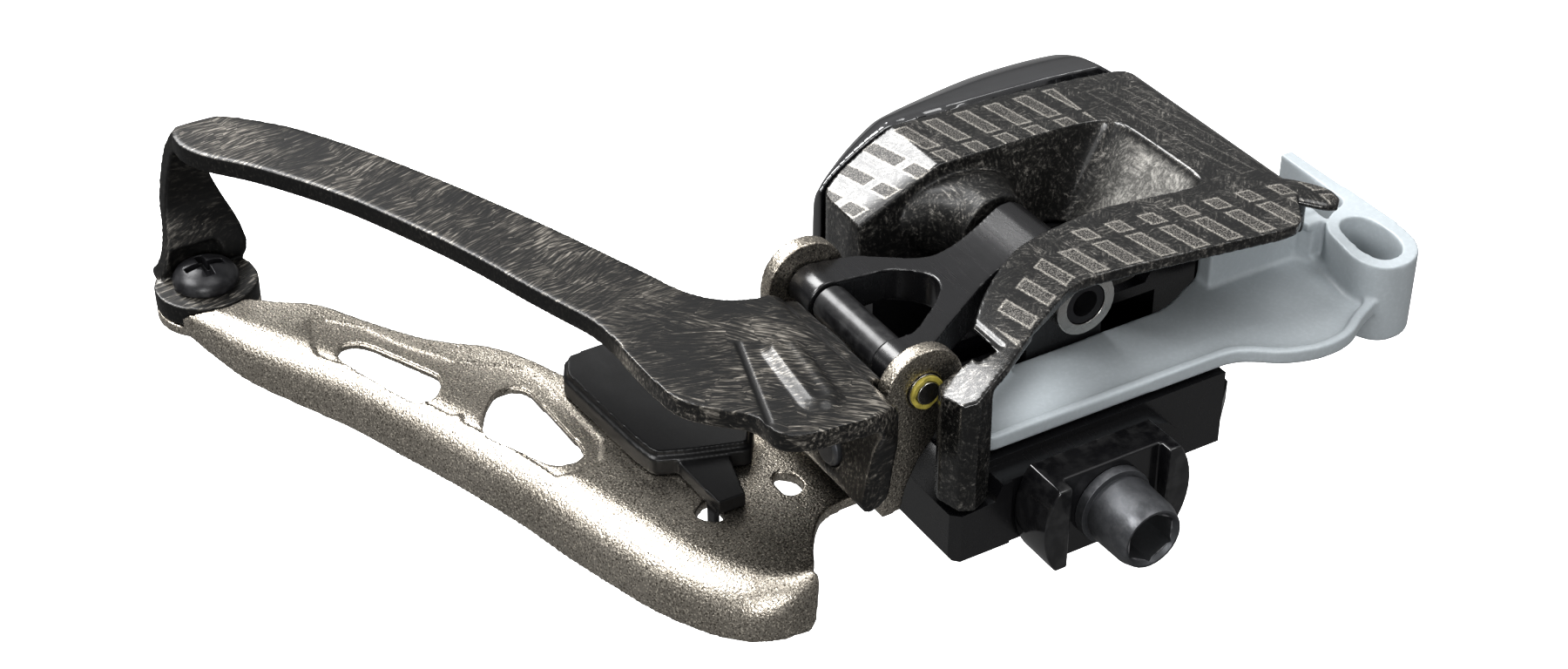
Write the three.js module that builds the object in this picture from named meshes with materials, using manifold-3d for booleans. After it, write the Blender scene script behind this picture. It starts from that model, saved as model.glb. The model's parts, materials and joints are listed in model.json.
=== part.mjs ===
// Front derailleur, electronic, braze-on mount, with a cover in its battery bay.
// Millimetres. +X points forward on the bicycle (along the pivot pins and the mount bolt),
// +Y points up the seat tube, +Z points outboard (towards the chainrings).
// Shapes are drawn round the point where the mount bolt's axis meets the front face of the
// mount boss. Each finished piece is then raised by FRAME_RISE, so the origin of the model
// lies that far below the bolt's axis.
import * as THREE from "three";
import { mergeVertices } from "three/addons/utils/BufferGeometryUtils.js";
import Module from "manifold-3d";

const wasm = await Module();
wasm.setup();

// ---- driving dimensions -------------------------------------------------
const FRAME_RISE = 14;
const RUN_FIT = 0.05; // radial clearance of a pin in its bore

// Parallelogram: pivots are (y, z); all pivot axes run along X.
const BODY_PIVOT = [7.9, 15.6]; // outer link on the body
const CAGE_PIVOT = [-19.3, 16.2]; // outer link on the cage
const LINK_DROP = 11.5; // inner link sits this far inboard of the outer link
const [BODY_Y, BODY_Z] = BODY_PIVOT;
const [CAGE_Y, CAGE_Z] = CAGE_PIVOT;
const BODY_LOW_PIVOT = [BODY_Y, BODY_Z - LINK_DROP];
const CAGE_LOW_PIVOT = [CAGE_Y, CAGE_Z - LINK_DROP];

const CAGE_PIN_R = 1.5;
const CAGE_COLLAR_R = 2.25; // collars of the cage pin, in the ears
const LOW_PIN_R = 1.2; // both pins of the inner link
const LOW_BORE_R = LOW_PIN_R + RUN_FIT;
const SHAFT_R = 2.45; // output shaft
const SHAFT_HEAD_R = 2.8;
const SHAFT_BORE_R = SHAFT_R + RUN_FIT;
const FRONT_BUSH_R = 4.3;
const REAR_BUSH_R = 3.2;
const REAR_BUSH_X = [-42.6, -41.3];

// Cage
const EAR_R = 5.5;
const EAR_T = 2.1;
const EAR_FRONTS = [-7.0, -33.5]; // front faces of the front and rear ears
const LOW_EARS = [[-17.6, -15.9], [-28.1, -26.4]]; // x ranges of the inner link's ears
const ARM_TOP = 20.5; // outboard face of the outer cage plate
const ARM_T = 2.6;
const PLATE_TOP = 1.0; // outboard face of the inner cage plate
const PLATE_T = 1.5;
const TAIL = [-94.4, -76.2]; // x, y of the tail screw
const TAIL_TAB_R = 6.9;
const SEAT_TOP = -2.1; // outboard face of the inner plate's tail seat
const CAGE_BOLT_XS = [-12.5, -22.0];
const CAGE_BOLT_Z = 8.2;

// Body and mount
const ROOF_Z = 22.0; // outboard face of the carbon shell
const SHELL_T = 1.6;
const SHAFT_BOSS_R = 5.0; // shell's boss round the output shaft
const BODY_LOW = -5.5; // inboard face of the mount body
const BOLT_AXIS = [0, 0]; // y, z
const BOLT_R = 2.45;
const BOLT_BORE_R = 2.55;
const BOLT_END = 13.3; // end face of the mount bolt's head
const BOLT_HEAD_R = 4.5;
const BOLT_AF = 6.0; // hexagon socket across flats
const WASHER_T = 6.6;
const WASHER_R = 10.7;
const WASHER_FLAT = 6.0; // from the axis to each flat
const SET_SCREW = [-8.0, 18.6]; // x, y
const SET_SCREW_R = 1.5;

// Drive: the sector turns about the body pivot, the worm's axis runs along Y.
const GEAR_TEETH = 28; // of the full circle that the drive sector is part of
const GEAR_R = 9.0; // pitch radius of the drive sector
const WORM_R = 2.2; // pitch radius of the worm
const PITCH = (2 * Math.PI * GEAR_R) / GEAR_TEETH;
const SECTOR_X = -44.0; // middle of the drive sector and axis of the worm
const WORM_Z = BODY_Z - GEAR_R - WORM_R;
const WORM_AXIS = [SECTOR_X, WORM_Z]; // x, z
const WORM_HALF = 4.4; // half the length of the threaded core
const JOURNAL_R = 1.0;
const WORM_BUSH_R = 2.3;

// ---- solids ---------------------------------------------------------------
// Welds a closed triangle mesh into a solid, turning it right side out if needed.
function toSolid(geometry) {
  const flat = geometry.index ? geometry.toNonIndexed() : geometry;
  const bare = new THREE.BufferGeometry();
  bare.setAttribute("position", flat.getAttribute("position"));
  const merged = mergeVertices(bare, 1e-4);
  const corners = merged.index.array;
  const build = (flip) => {
    const triangles = [];
    for (let i = 0; i < corners.length; i += 3) {
      const [a, b, c] = [corners[i], corners[i + 1], corners[i + 2]];
      if (a === b || b === c || a === c) continue;
      triangles.push(...(flip ? [a, c, b] : [a, b, c]));
    }
    const mesh = new wasm.Mesh({
      numProp: 3,
      vertProperties: merged.getAttribute("position").array,
      triVerts: new Uint32Array(triangles),
    });
    return new wasm.Manifold(mesh);
  };
  const solid = build(false);
  return solid.volume() >= 0 ? solid : build(true);
}

function extrude(points, depth, holes) {
  const toVectors = (list) => list.map(([u, v]) => new THREE.Vector2(u, v));
  const shape = new THREE.Shape(toVectors(points));
  shape.holes = holes.map((hole) => new THREE.Path(toVectors(hole)));
  return new THREE.ExtrudeGeometry(shape, { depth, bevelEnabled: false, curveSegments: 1 });
}

const vector = (x, y, z) => new THREE.Vector3(x, y, z);
const basis = (...axes) => new THREE.Matrix4().makeBasis(...axes);
const X_BASIS = basis(vector(0, 1, 0), vector(0, 0, 1), vector(1, 0, 0));
const Y_BASIS = basis(vector(1, 0, 0), vector(0, 0, 1), vector(0, -1, 0));

// Prisms along each axis: outlines are (y, z) for X, (x, z) for Y and (x, y) for Z.
function prismX(points, x0, x1, holes = []) {
  return toSolid(extrude(points, x1 - x0, holes).applyMatrix4(X_BASIS).translate(x0, 0, 0));
}
function prismY(points, y0, y1, holes = []) {
  return toSolid(extrude(points, y1 - y0, holes).applyMatrix4(Y_BASIS).translate(0, y1, 0));
}
function prismZ(points, z0, z1) {
  return toSolid(extrude(points, z1 - z0, []).translate(0, 0, z0));
}

function ring([u, v], radius, sides, turn = 0) {
  return Array.from({ length: sides }, (_, i) => {
    const angle = turn + (i * 2 * Math.PI) / sides;
    return [u + radius * Math.cos(angle), v + radius * Math.sin(angle)];
  });
}

// Points on an arc, both ends included; angles in degrees.
function arc([u, v], radius, from, to, steps) {
  return Array.from({ length: steps + 1 }, (_, i) => {
    const angle = ((from + ((to - from) * i) / steps) * Math.PI) / 180;
    return [u + radius * Math.cos(angle), v + radius * Math.sin(angle)];
  });
}

const rodX = (centre, radius, x0, x1, sides) => prismX(ring(centre, radius, sides), x0, x1);
const rodY = (centre, radius, y0, y1, sides) => prismY(ring(centre, radius, sides), y0, y1);
const rodZ = (centre, radius, z0, z1, sides) => prismZ(ring(centre, radius, sides), z0, z1);
const tubeX = (centre, outer, inner, x0, x1, sides) =>
  prismX(ring(centre, outer, sides), x0, x1, [ring(centre, inner, sides)]);
const box = (x0, x1, y0, y1, z0, z1) =>
  prismZ([[x0, y0], [x1, y0], [x1, y1], [x0, y1]], z0, z1);

// Profile is a list of (radius, height along the axis); it starts and ends on the axis.
function lathe(profile, axis, at, sides) {
  const points = profile.map(([radius, height]) => new THREE.Vector2(radius, height));
  const geometry = new THREE.LatheGeometry(points, sides);
  if (axis === "z") geometry.rotateX(Math.PI / 2);
  if (axis === "x") geometry.rotateZ(-Math.PI / 2);
  return toSolid(geometry.translate(...at));
}

// Corner points of the triangles that fill a flat section.
function capTriangles(section) {
  const normal = vector(0, 0, 0);
  section.forEach((a, i) => {
    const b = section[(i + 1) % section.length];
    normal.x += (a[1] - b[1]) * (a[2] + b[2]);
    normal.y += (a[2] - b[2]) * (a[0] + b[0]);
    normal.z += (a[0] - b[0]) * (a[1] + b[1]);
  });
  normal.normalize();
  const across = Math.abs(normal.z) < 0.9 ? vector(0, 0, 1) : vector(1, 0, 0);
  across.cross(normal).normalize();
  const along = normal.clone().cross(across);
  // a hair of unevenness keeps points on one line in the triangulation
  const flat = section.map((point, i) => {
    const place = vector(...point);
    return new THREE.Vector2(
      place.dot(across) + 1e-5 * Math.sin(12.9 * i),
      place.dot(along) + 1e-5 * Math.sin(7.3 * i + 1),
    );
  });
  return THREE.ShapeUtils.triangulateShape(flat, []).map((face) => face.map((i) => section[i]));
}

// A closed body through a row of sections with the same number of (x, y, z) points.
function loft(sections) {
  const positions = [];
  const count = sections[0].length;
  for (let i = 0; i < sections.length - 1; i++) {
    const near = sections[i];
    const far = sections[i + 1];
    for (let j = 0; j < count; j++) {
      const k = (j + 1) % count;
      positions.push(...near[j], ...near[k], ...far[k], ...near[j], ...far[k], ...far[j]);
    }
  }
  for (const [a, b, c] of capTriangles(sections[0])) positions.push(...a, ...c, ...b);
  for (const [a, b, c] of capTriangles(sections.at(-1))) positions.push(...a, ...b, ...c);
  const geometry = new THREE.BufferGeometry();
  return toSolid(
    geometry.setAttribute("position", new THREE.Float32BufferAttribute(positions, 3)),
  );
}

const sumOf = (solids) => solids.reduce((a, b) => a.add(b));
const cut = (solid, tools) => tools.reduce((a, b) => a.subtract(b), solid);

// ---- outlines ---------------------------------------------------------------
// Rounds the corners of a closed polygon with quadratic curves. A point's third
// number is its own corner reach; 0 keeps the corner sharp.
function rounded(points, steps, defaultReach) {
  const count = points.length;
  return points.flatMap((corner, i) => {
    const [x, y, reach = defaultReach] = corner;
    if (reach < 0.01) return [[x, y]];
    const towards = (other) => {
      const length = Math.hypot(other[0] - x, other[1] - y);
      const run = Math.min(reach, length * 0.45);
      return [x + ((other[0] - x) * run) / length, y + ((other[1] - y) * run) / length];
    };
    const start = towards(points[(i + count - 1) % count]);
    const end = towards(points[(i + 1) % count]);
    return Array.from({ length: steps + 1 }, (_, k) => {
      const t = k / steps;
      const blend = (a, mid, b) => (1 - t) ** 2 * a + 2 * t * (1 - t) * mid + t * t * b;
      return [blend(start[0], x, end[0]), blend(start[1], y, end[1])];
    });
  });
}

// Positive for a polygon that runs anticlockwise.
function signedArea(points) {
  return points.reduce((sum, a, i) => {
    const b = points[(i + 1) % points.length];
    return sum + (a[0] * b[1] - b[0] * a[1]) / 2;
  }, 0);
}

// Moves a closed polygon inwards.
function inset(points, distance) {
  const loop = signedArea(points) > 0 ? points : points.slice().reverse();
  const count = loop.length;
  const inward = (a, b) => {
    const length = Math.hypot(b[0] - a[0], b[1] - a[1]);
    return [-(b[1] - a[1]) / length, (b[0] - a[0]) / length];
  };
  return loop.map((point, i) => {
    const before = inward(loop[(i + count - 1) % count], point);
    const after = inward(point, loop[(i + 1) % count]);
    // limited, so that a sharp corner does not shoot away
    const scale = Math.max(0.35, 1 + before[0] * after[0] + before[1] * after[1]);
    return [0, 1].map((k) => point[k] + ((before[k] + after[k]) * distance) / scale);
  });
}

// ---- cage: inner plate ------------------------------------------------------
// Outer foot line of the rolled flange, tail to nose: x, y, lowest z, roll radius.
const FLANGE = [
  [-93.4, -82.5, -2.2, 0.9], [-91.0, -82.0, -2.6, 1.3], [-88.0, -81.0, -3.2, 2.2],
  [-84.2, -79.5, -4.4, 3.3], [-78.2, -77.2, -5.5, 4.6], [-70.6, -73.2, -6.1, 5.2],
  [-63.9, -69.7, -6.4, 5.6], [-56.4, -66.8, -6.5, 5.8], [-49.2, -64.1, -6.5, 5.9],
  [-41.8, -61.6, -6.5, 6.0], [-34.2, -59.3, -6.5, 6.0], [-26.3, -57.4, -6.5, 6.0],
  [-19.0, -55.3, -6.5, 6.0], [-12.2, -53.1, -6.5, 6.0], [-6.7, -50.4, -6.5, 6.0],
  [-3.9, -48.5, -6.5, 5.9], [-1.7, -46.3, -6.5, 5.4], [-0.3, -43.6, -6.5, 4.6],
  [0.2, -41.0, -6.5, 3.5], [-0.1, -38.3, -6.3, 2.2],
];
// Edge of the plate beyond the flange's root line, nose to tail: x, y.
const INNER_PLATE_EDGE = [
  [-2.3, -37.0], [-5.5, -35.4], [-9.9, -31.9], [-10.6, -28.6], [-10.6, -24.0],
  [-35.6, -24.0], [-36.4, -33.0], [-40.0, -39.6], [-45.6, -42.8], [-50.6, -45.1],
  [-55.1, -46.7], [-58.8, -48.5], [-61.9, -50.9], [-64.5, -54.2], [-67.6, -57.2],
  [-71.8, -59.9], [-76.1, -62.4], [-80.8, -64.9], [-83.0, -67.0], [-84.6, -69.8],
  [-86.5, -71.5],
];
// Openings in the plate: x, y.
const SLOT_WINDOW = [
  [-70.3, -67.7], [-71.8, -66.6], [-71.4, -64.5], [-69.7, -63.3], [-59.5, -58.6],
  [-57.2, -58.9], [-55.0, -60.9], [-55.1, -62.9], [-56.7, -63.7], [-68.5, -67.8],
];
const TRIANGLE_WINDOW = [
  [-47.5, -57.8], [-49.7, -56.4], [-52.0, -54.2], [-52.3, -52.0], [-51.2, -50.5],
  [-49.6, -50.1], [-36.6, -49.7], [-34.7, -50.3], [-34.1, -51.6], [-34.4, -53.6],
  [-35.8, -54.9], [-44.4, -58.7], [-46.3, -58.6],
];
const CLIP_HOLE = [
  [-17.2, -44.8], [-19.0, -42.8], [-19.4, -41.3], [-15.3, -41.4], [-14.5, -42.5],
  [-15.7, -43.9],
];
const KEY_HOLE = [
  [-18.8, -33.0], [-19.6, -32.1], [-18.7, -30.8], [-16.8, -30.1], [-15.2, -30.6],
  [-14.4, -32.2], [-14.9, -33.3], [-16.7, -33.6],
];
// Ears, side view: y, z.
const EAR_SIDE = [
  [-24.9, -0.4], [-22.2, -0.4], [-21.0, 4.0], [-17.6, 9.0],
  ...arc(CAGE_PIVOT, EAR_R, -62, 180, 16),
  [-24.9, 15.8],
];
const LOW_EAR_SIDE = [
  [-24.9, 0.2], [-19.6, 0.2], [-17.2, 2.0], [-16.2, CAGE_LOW_PIVOT[1]], [-17.2, 7.2],
  [-19.6, 8.0], [-24.9, 8.0],
];
// Step between the tail seat and the plate, rear section then front section.
const TAIL_STEP = [
  [[-90.0, -81.2, -3.0], [-90.0, -71.0, -3.6], [-90.0, -71.0, -2.1], [-90.0, -81.4, -2.1]],
  [[-84.6, -78.4, -3.0], [-84.6, -69.2, -0.5], [-84.6, -69.2, 1.0], [-84.6, -76.0, 1.0]],
];

// Each flange station with its unit direction away from the plate.
function flangeStations() {
  return FLANGE.map(([x, y, low, radius], i) => {
    const before = FLANGE[Math.max(0, i - 1)];
    const after = FLANGE[Math.min(FLANGE.length - 1, i + 1)];
    const length = Math.hypot(after[0] - before[0], after[1] - before[1]);
    const outward = [(after[1] - before[1]) / length, -(after[0] - before[0]) / length];
    return { x, y, low, radius, outward };
  });
}

// Rolled section at a station: from the plate, round the roll and down to the low edge.
function flangeSection({ x, y, low, radius, outward }) {
  const overlap = -0.6; // reach back into the plate
  const centre = [0, PLATE_TOP - radius];
  const innerRadius = Math.max(0.3, radius - PLATE_T);
  const profile = [
    [overlap, PLATE_TOP],
    ...arc(centre, radius, 90, 0, 5),
    [radius, low],
    [innerRadius, low],
    ...arc(centre, innerRadius, 0, 90, 4),
    [overlap, PLATE_TOP - (radius - innerRadius)],
  ];
  return profile.map(([out, z]) => [
    x + outward[0] * (out - radius),
    y + outward[1] * (out - radius),
    z,
  ]);
}

function innerCagePlate() {
  const stations = flangeStations();
  const rootLine = stations.map(({ x, y, radius, outward }) => [
    x - outward[0] * radius,
    y - outward[1] * radius,
  ]);
  const plate = sumOf([
    prismZ([...rootLine, ...INNER_PLATE_EDGE], PLATE_TOP - PLATE_T, PLATE_TOP),
    loft(stations.map(flangeSection)),
    rodZ(TAIL, TAIL_TAB_R, -3.6, SEAT_TOP, 26),
    loft(TAIL_STEP),
    box(-35.6, -7.0, -24.9, -23.2, -0.5, 9.5), // upright that joins the ears
    ...EAR_FRONTS.map((front) => prismX(EAR_SIDE, front - EAR_T, front)),
    ...LOW_EARS.map(([x0, x1]) => prismX(LOW_EAR_SIDE, x0, x1)),
  ]);
  return cut(plate, [
    rodX(CAGE_PIVOT, CAGE_COLLAR_R + RUN_FIT, -40, 0, 20),
    rodX(CAGE_LOW_PIVOT, LOW_BORE_R, -32, -14, 16),
    ...[SLOT_WINDOW, TRIANGLE_WINDOW, CLIP_HOLE, KEY_HOLE].map((hole) => prismZ(hole, -3, 3)),
    rodZ(TAIL, 1.6, -6, 3, 16),
    // the tail seat stays clear under the outer plate's tab
    rodZ(TAIL, 7.2, SEAT_TOP, 4, 26),
    box(-110, -93.2, -90, -60, SEAT_TOP, 4),
    ...CAGE_BOLT_XS.map((x) => rodY([x, CAGE_BOLT_Z], 1.3, -30, -20, 14)),
  ]);
}

// ---- cage: outer plate ------------------------------------------------------
// Arm of the plate: x, y.
const ARM_OUTLINE = [
  [-103.2, -73.0], [-102.7, -69.6], [-100.8, -67.2], [-97.8, -64.5], [-94.8, -62.0],
  [-90.7, -59.5], [-86.3, -57.1], [-81.8, -54.8], [-75.6, -52.0], [-70.5, -49.7],
  [-63.6, -46.9], [-56.7, -44.2], [-49.8, -41.7], [-43.2, -39.4], [-39.2, -38.0],
  [-35.5, -36.9], [-32.4, -35.4], [-30.2, -33.4], [-29.0, -31.5], [-28.3, -29.6],
  [-0.9, -29.6], [-0.8, -30.9], [-1.3, -34.0], [-1.5, -37.0], [-2.1, -39.0],
  [-3.3, -40.8], [-4.8, -41.5], [-7.3, -41.5], [-9.0, -42.5], [-10.7, -44.4],
  [-12.8, -46.3], [-14.5, -47.4], [-16.7, -48.1], [-20.3, -48.3], [-24.1, -48.4],
  [-28.4, -48.2], [-31.7, -48.3], [-34.9, -48.8], [-39.6, -50.4], [-45.3, -52.2],
  [-51.5, -53.9], [-57.4, -55.8], [-62.8, -57.8], [-69.3, -60.4], [-74.0, -62.4],
  [-78.4, -64.6], [-82.6, -67.0], [-86.7, -69.5], [-89.6, -71.6], [-93.2, -74.6],
  [-97.0, -76.4], [-100.6, -76.4], [-102.6, -75.0],
];
// Wall turned inboard along the arm's upper edge: y, z.
const WALL_X = [-28.3, -0.9];
const WALL_SIDE = [
  [-30.5, ARM_TOP], [-28.6, ARM_TOP], [-27.2, 20.1], [-26.2, 19.3], [-25.5, 18.1],
  [-25.3, 16.6], [-25.3, 3.4], [-29.3, 2.6], [-28.6, 15.0], [-28.7, 16.9],
  [-29.4, ARM_TOP - ARM_T], [-30.5, ARM_TOP - ARM_T],
];
// Plan that rounds the wall's front upper corner: x, y, corner reach.
const WALL_PLAN = [
  [-28.3, -31.0, 0], [-28.3, -24.0, 0], [-3.6, -24.0, 4.5], [-0.9, -29.0, 1.0],
  [-0.9, -31.0, 0],
];
// Cut that slants the wall's front edge: x, z.
const WALL_FRONT_CUT = [
  [-5.6, 0], [-4.9, 3.0], [-3.6, 12.0], [-1.6, 16.6], [2.0, 18.6], [2.0, 0],
];
// Thicker part of the wall between the ears: y, z.
const WALL_PAD_SIDE = [
  [-25.6, 10.2], [-23.2, 10.2], [-23.2, 15.2], [-23.6, 16.6], [-25.0, 17.6],
  [-25.6, 17.6],
];
// Bridge at the tail, from the arm to the tab: z, rear x, front x, low y, high y.
const BRIDGE = [
  [19.6, -102.9, -98.6, -75.6, -71.4], [18.4, -103.1, -99.8, -76.2, -71.6],
  [17.0, -103.4, -100.6, -76.8, -72.0], [13.0, -104.0, -101.3, -77.6, -71.6],
  [9.2, -103.6, -101.0, -78.4, -70.4], [6.4, -101.4, -98.9, -79.2, -69.4],
  [4.0, -99.9, -97.4, -80.2, -69.0], [2.2, -99.9, -97.0, -81.0, -69.2],
  [0.8, -100.9, -97.4, -81.5, -69.8], [-1.8, -100.4, -96.0, -80.8, -71.6],
];

function outerCagePlate() {
  const wall = prismX(WALL_SIDE, ...WALL_X)
    .intersect(prismZ(rounded(WALL_PLAN, 3), 0, 30))
    .subtract(prismY(WALL_FRONT_CUT, -40, -20));
  const bridgeRows = BRIDGE.map(([z, rear, front, low, high]) => [
    [rear, low, z],
    [rear, high, z],
    [front, high, z],
    [front, low, z],
  ]);
  const plate = sumOf([
    prismZ(ARM_OUTLINE, ARM_TOP - ARM_T, ARM_TOP),
    wall,
    prismX(WALL_PAD_SIDE, -28.3, -9.5),
    loft(bridgeRows),
    rodZ(TAIL, TAIL_TAB_R, -1.8, PLATE_TOP, 30),
  ]);
  return cut(plate, [
    rodZ(TAIL, 1.8, -6, 5, 18),
    rodZ(TAIL, 4.75, PLATE_TOP + 0.01, 4.6, 28), // room for the screw's head
    ...CAGE_BOLT_XS.flatMap((x) => [
      rodY([x, CAGE_BOLT_Z], 1.5, -32, -20, 14),
      rodY([x, CAGE_BOLT_Z], 2.6, -32, -27.9, 18), // counterbore for the head
    ]),
  ]);
}

// ---- cage: fasteners and pad ------------------------------------------------
// Profiles are radius, height.
const TAIL_SCREW_TOP = 2.75;
const TAIL_SCREW_PROFILE = [
  [0, -5.4], [1.1, -5.4], [1.45, -5.0], [1.45, 0.0], [4.4, 0.0], [4.4, 0.9], [3.9, 1.7],
  [2.9, 2.3], [1.6, 2.65], [0, TAIL_SCREW_TOP],
];
const CAGE_BOLT_PROFILE = [
  [0, 0], [1.05, 0], [1.05, 5.4], [2.4, 5.4], [2.4, 6.6], [1.9, 7.0], [0, 7.0],
];
// Anti-chafe pad: x, y, corner reach.
const PAD_OUTLINE = [
  [-49.6, -44.2, 1.2], [-50.6, -41.0, 1.2], [-49.0, -38.4, 1.2], [-38.0, -34.0, 2],
  [-26.5, -31.0, 2], [-22.0, -34.0, 2], [-24.6, -41.6, 1.2], [-26.2, -45.3, 1.2],
  [-30.0, -45.9, 1.2], [-46.6, -47.0, 1.2],
];
const PAD_TONGUE = [
  [-26.0, -42.6], [-18.6, -42.4], [-15.6, -42.2], [-15.6, -38.6], [-25.0, -36.0],
];

function tailScrew() {
  const seat = PLATE_TOP + 0.02;
  const top = seat + TAIL_SCREW_TOP;
  const [x, y] = TAIL;
  const slot = (halfX, halfY) =>
    box(x - halfX, x + halfX, y - halfY, y + halfY, top - 1.7, top + 1);
  return cut(lathe(TAIL_SCREW_PROFILE, "z", [x, y, seat], 24), [
    slot(0.55, 2.6),
    slot(2.6, 0.55),
  ]);
}

// Runs up through the outer plate's wall into the inner plate, head at the bottom.
function cageBolt(x) {
  return lathe(CAGE_BOLT_PROFILE, "y", [0, 0, 0], 16)
    .rotate([0, 0, 180])
    .translate([x, -22.6, CAGE_BOLT_Z]);
}

function antiChafePad() {
  const base = PLATE_TOP + 0.05;
  return sumOf([
    prismZ(rounded(PAD_OUTLINE, 2), base, 4.4),
    prismZ(PAD_TONGUE, base, 3.0),
    box(-18.2, -16.1, -42.5, -41.8, -1.8, PLATE_TOP + 0.3), // tab in the clip hole
  ]);
}

// ---- links ------------------------------------------------------------------
// Outer link in plan, and the opening in its cage end: x, y.
const OUTER_LINK_PLAN = [
  [-9.4, -26], [-9.4, -18.6], [-11.2, -15.6], [-14.0, -11.6], [-17.2, -6.6], [-20.0, -2.0],
  [-21.4, 2.4], [-21.4, 16], [-31.4, 16], [-31.4, 8.0], [-29.6, 2.6], [-28.6, -1.0],
  [-28.1, -4.4], [-29.4, -7.6], [-32.0, -11.4], [-33.3, -14.4], [-33.3, -26],
];
const OUTER_LINK_OPENING = [
  [-14.4, -27], [-14.4, -16.6], [-15.6, -14.6], [-18.4, -10.9], [-20.6, -8.3],
  [-22.6, -7.0], [-24.4, -6.8], [-26.2, -7.8], [-27.9, -10.2], [-28.3, -12.6],
  [-28.3, -27],
];
// A bar with a round end at each pivot: y, z.
const OUTER_LINK_SIDE = [
  ...arc(BODY_PIVOT, 4.6, -110, 100, 9),
  [2.2, BODY_Z + 3.2], [-4.0, BODY_Z + 2.4], [-12.0, CAGE_Z + 2.2],
  ...arc(CAGE_PIVOT, 2.9, 70, 290, 8),
  [-12.0, CAGE_Z - 2.4], [-4.0, BODY_Z - 2.6], [2.2, BODY_Z - 3.6],
];
const INNER_LINK_SIDE = [
  ...arc(BODY_LOW_PIVOT, 2.7, -90, 90, 7),
  ...arc(CAGE_LOW_PIVOT, 2.7, 90, 270, 7),
];
const INNER_LINK_WINDOW = [[-24.0, -14.5], [-20.0, -14.5], [-20.0, 2.5], [-24.0, 2.5]];

function outerLink() {
  const bar = prismX(OUTER_LINK_SIDE, -34, -9)
    .intersect(prismZ(OUTER_LINK_PLAN, 5, 25))
    .subtract(prismZ(OUTER_LINK_OPENING, 5, 25));
  return cut(bar, [
    rodX(BODY_PIVOT, SHAFT_BORE_R, -40, 0, 22),
    rodX(CAGE_PIVOT, CAGE_PIN_R + RUN_FIT, -40, 0, 18),
  ]);
}

function innerLink() {
  return cut(prismX(INNER_LINK_SIDE, -26.1, -17.9), [
    prismZ(rounded(INNER_LINK_WINDOW, 2, 1.2), -3, 12),
    rodX(BODY_LOW_PIVOT, LOW_BORE_R, -40, 0, 16),
    rodX(CAGE_LOW_PIVOT, LOW_BORE_R, -40, 0, 16),
  ]);
}

// ---- pins, bushes, sleeve ---------------------------------------------------
// Cage pin with a collar in each ear.
function cagePivotPin() {
  return sumOf([
    rodX(CAGE_PIVOT, CAGE_PIN_R, -36.2, -6.2, 18),
    rodX(CAGE_PIVOT, CAGE_COLLAR_R, -9.0, -6.9, 20),
    rodX(CAGE_PIVOT, CAGE_COLLAR_R, -35.5, -33.6, 20),
  ]);
}

const pivotSleeve = () => tubeX(CAGE_PIVOT, 2.5, 1.56, -28.0, -14.7, 20);
const cageLowPin = () => rodX(CAGE_LOW_PIVOT, LOW_PIN_R, -28.6, -15.4, 16);
const bodyLowPin = () => rodX(BODY_LOW_PIVOT, LOW_PIN_R, -29.6, -14.6, 16);
const frontBush = () =>
  tubeX(BODY_PIVOT, FRONT_BUSH_R, SHAFT_HEAD_R + RUN_FIT, -20.6, -12.5, 28);
const rearBush = () => tubeX(BODY_PIVOT, REAR_BUSH_R, 2.55, ...REAR_BUSH_X, 24);
const shaftClip = () => tubeX(BODY_PIVOT, 3.4, SHAFT_BORE_R, -46.2, -45.5, 20);

// Output shaft with a thicker, hollow head at its front end.
function outputShaft() {
  return rodX(BODY_PIVOT, SHAFT_R, -46.8, -20.4, 22)
    .add(rodX(BODY_PIVOT, SHAFT_HEAD_R, -20.9, -12.7, 22))
    .subtract(rodX(BODY_PIVOT, 1.8, -17.5, -10, 18));
}

// ---- drive ------------------------------------------------------------------
// One tooth: radius, offset from the tooth's middle in tooth pitches.
const TOOTH = [[8.2, -0.27], [9.38, -0.12], [9.38, 0.12], [8.2, 0.27]];
// Hub side of the sector, as y, z from the body pivot.
const SECTOR_HUB = [[4.2, 0.6], [3.0, 3.0], [0, 4.2], [-3.0, 3.0], [-4.2, 0.6]];
// Thread section: distance from the worm's axis, offset along it.
const THREAD = [[1.2, -0.45], [2.62, -0.2], [2.62, 0.2], [1.2, 0.45]];

// Nine teeth, the middle one pointing inboard.
function driveSector() {
  const toothAngle = (2 * Math.PI) / GEAR_TEETH;
  const outline = [];
  for (let i = -4; i <= 4; i++) {
    const middle = -Math.PI / 2 + i * toothAngle;
    for (const [radius, offset] of TOOTH) {
      const angle = middle + toothAngle * offset;
      outline.push([BODY_Y + radius * Math.cos(angle), BODY_Z + radius * Math.sin(angle)]);
    }
  }
  outline.push(...SECTOR_HUB.map(([y, z]) => [BODY_Y + y, BODY_Z + z]));
  return prismX(outline, SECTOR_X - 1.2, SECTOR_X + 1.2, [ring(BODY_PIVOT, SHAFT_BORE_R, 22)]);
}

function wormThread() {
  const length = 2 * (WORM_HALF - 0.7);
  const steps = Math.ceil((length / PITCH) * 10);
  const rows = [];
  for (let i = 0; i <= steps; i++) {
    const rise = -length / 2 + (i / steps) * length; // from the body pivot's height
    // a thread crest faces the sector half a pitch from the middle tooth
    const angle = (rise / PITCH) * 2 * Math.PI + Math.PI; // about +Y, measured from +Z
    rows.push(
      THREAD.map(([radius, offset]) => [
        SECTOR_X + Math.sin(angle) * radius,
        BODY_Y + rise + offset,
        WORM_Z + Math.cos(angle) * radius,
      ]),
    );
  }
  return loft(rows);
}

function wormShaft() {
  return sumOf([
    rodY(WORM_AXIS, 1.55, BODY_Y - WORM_HALF, BODY_Y + WORM_HALF, 14),
    rodY(WORM_AXIS, JOURNAL_R, -0.8, 17.4, 14),
    wormThread(),
  ]);
}

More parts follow.
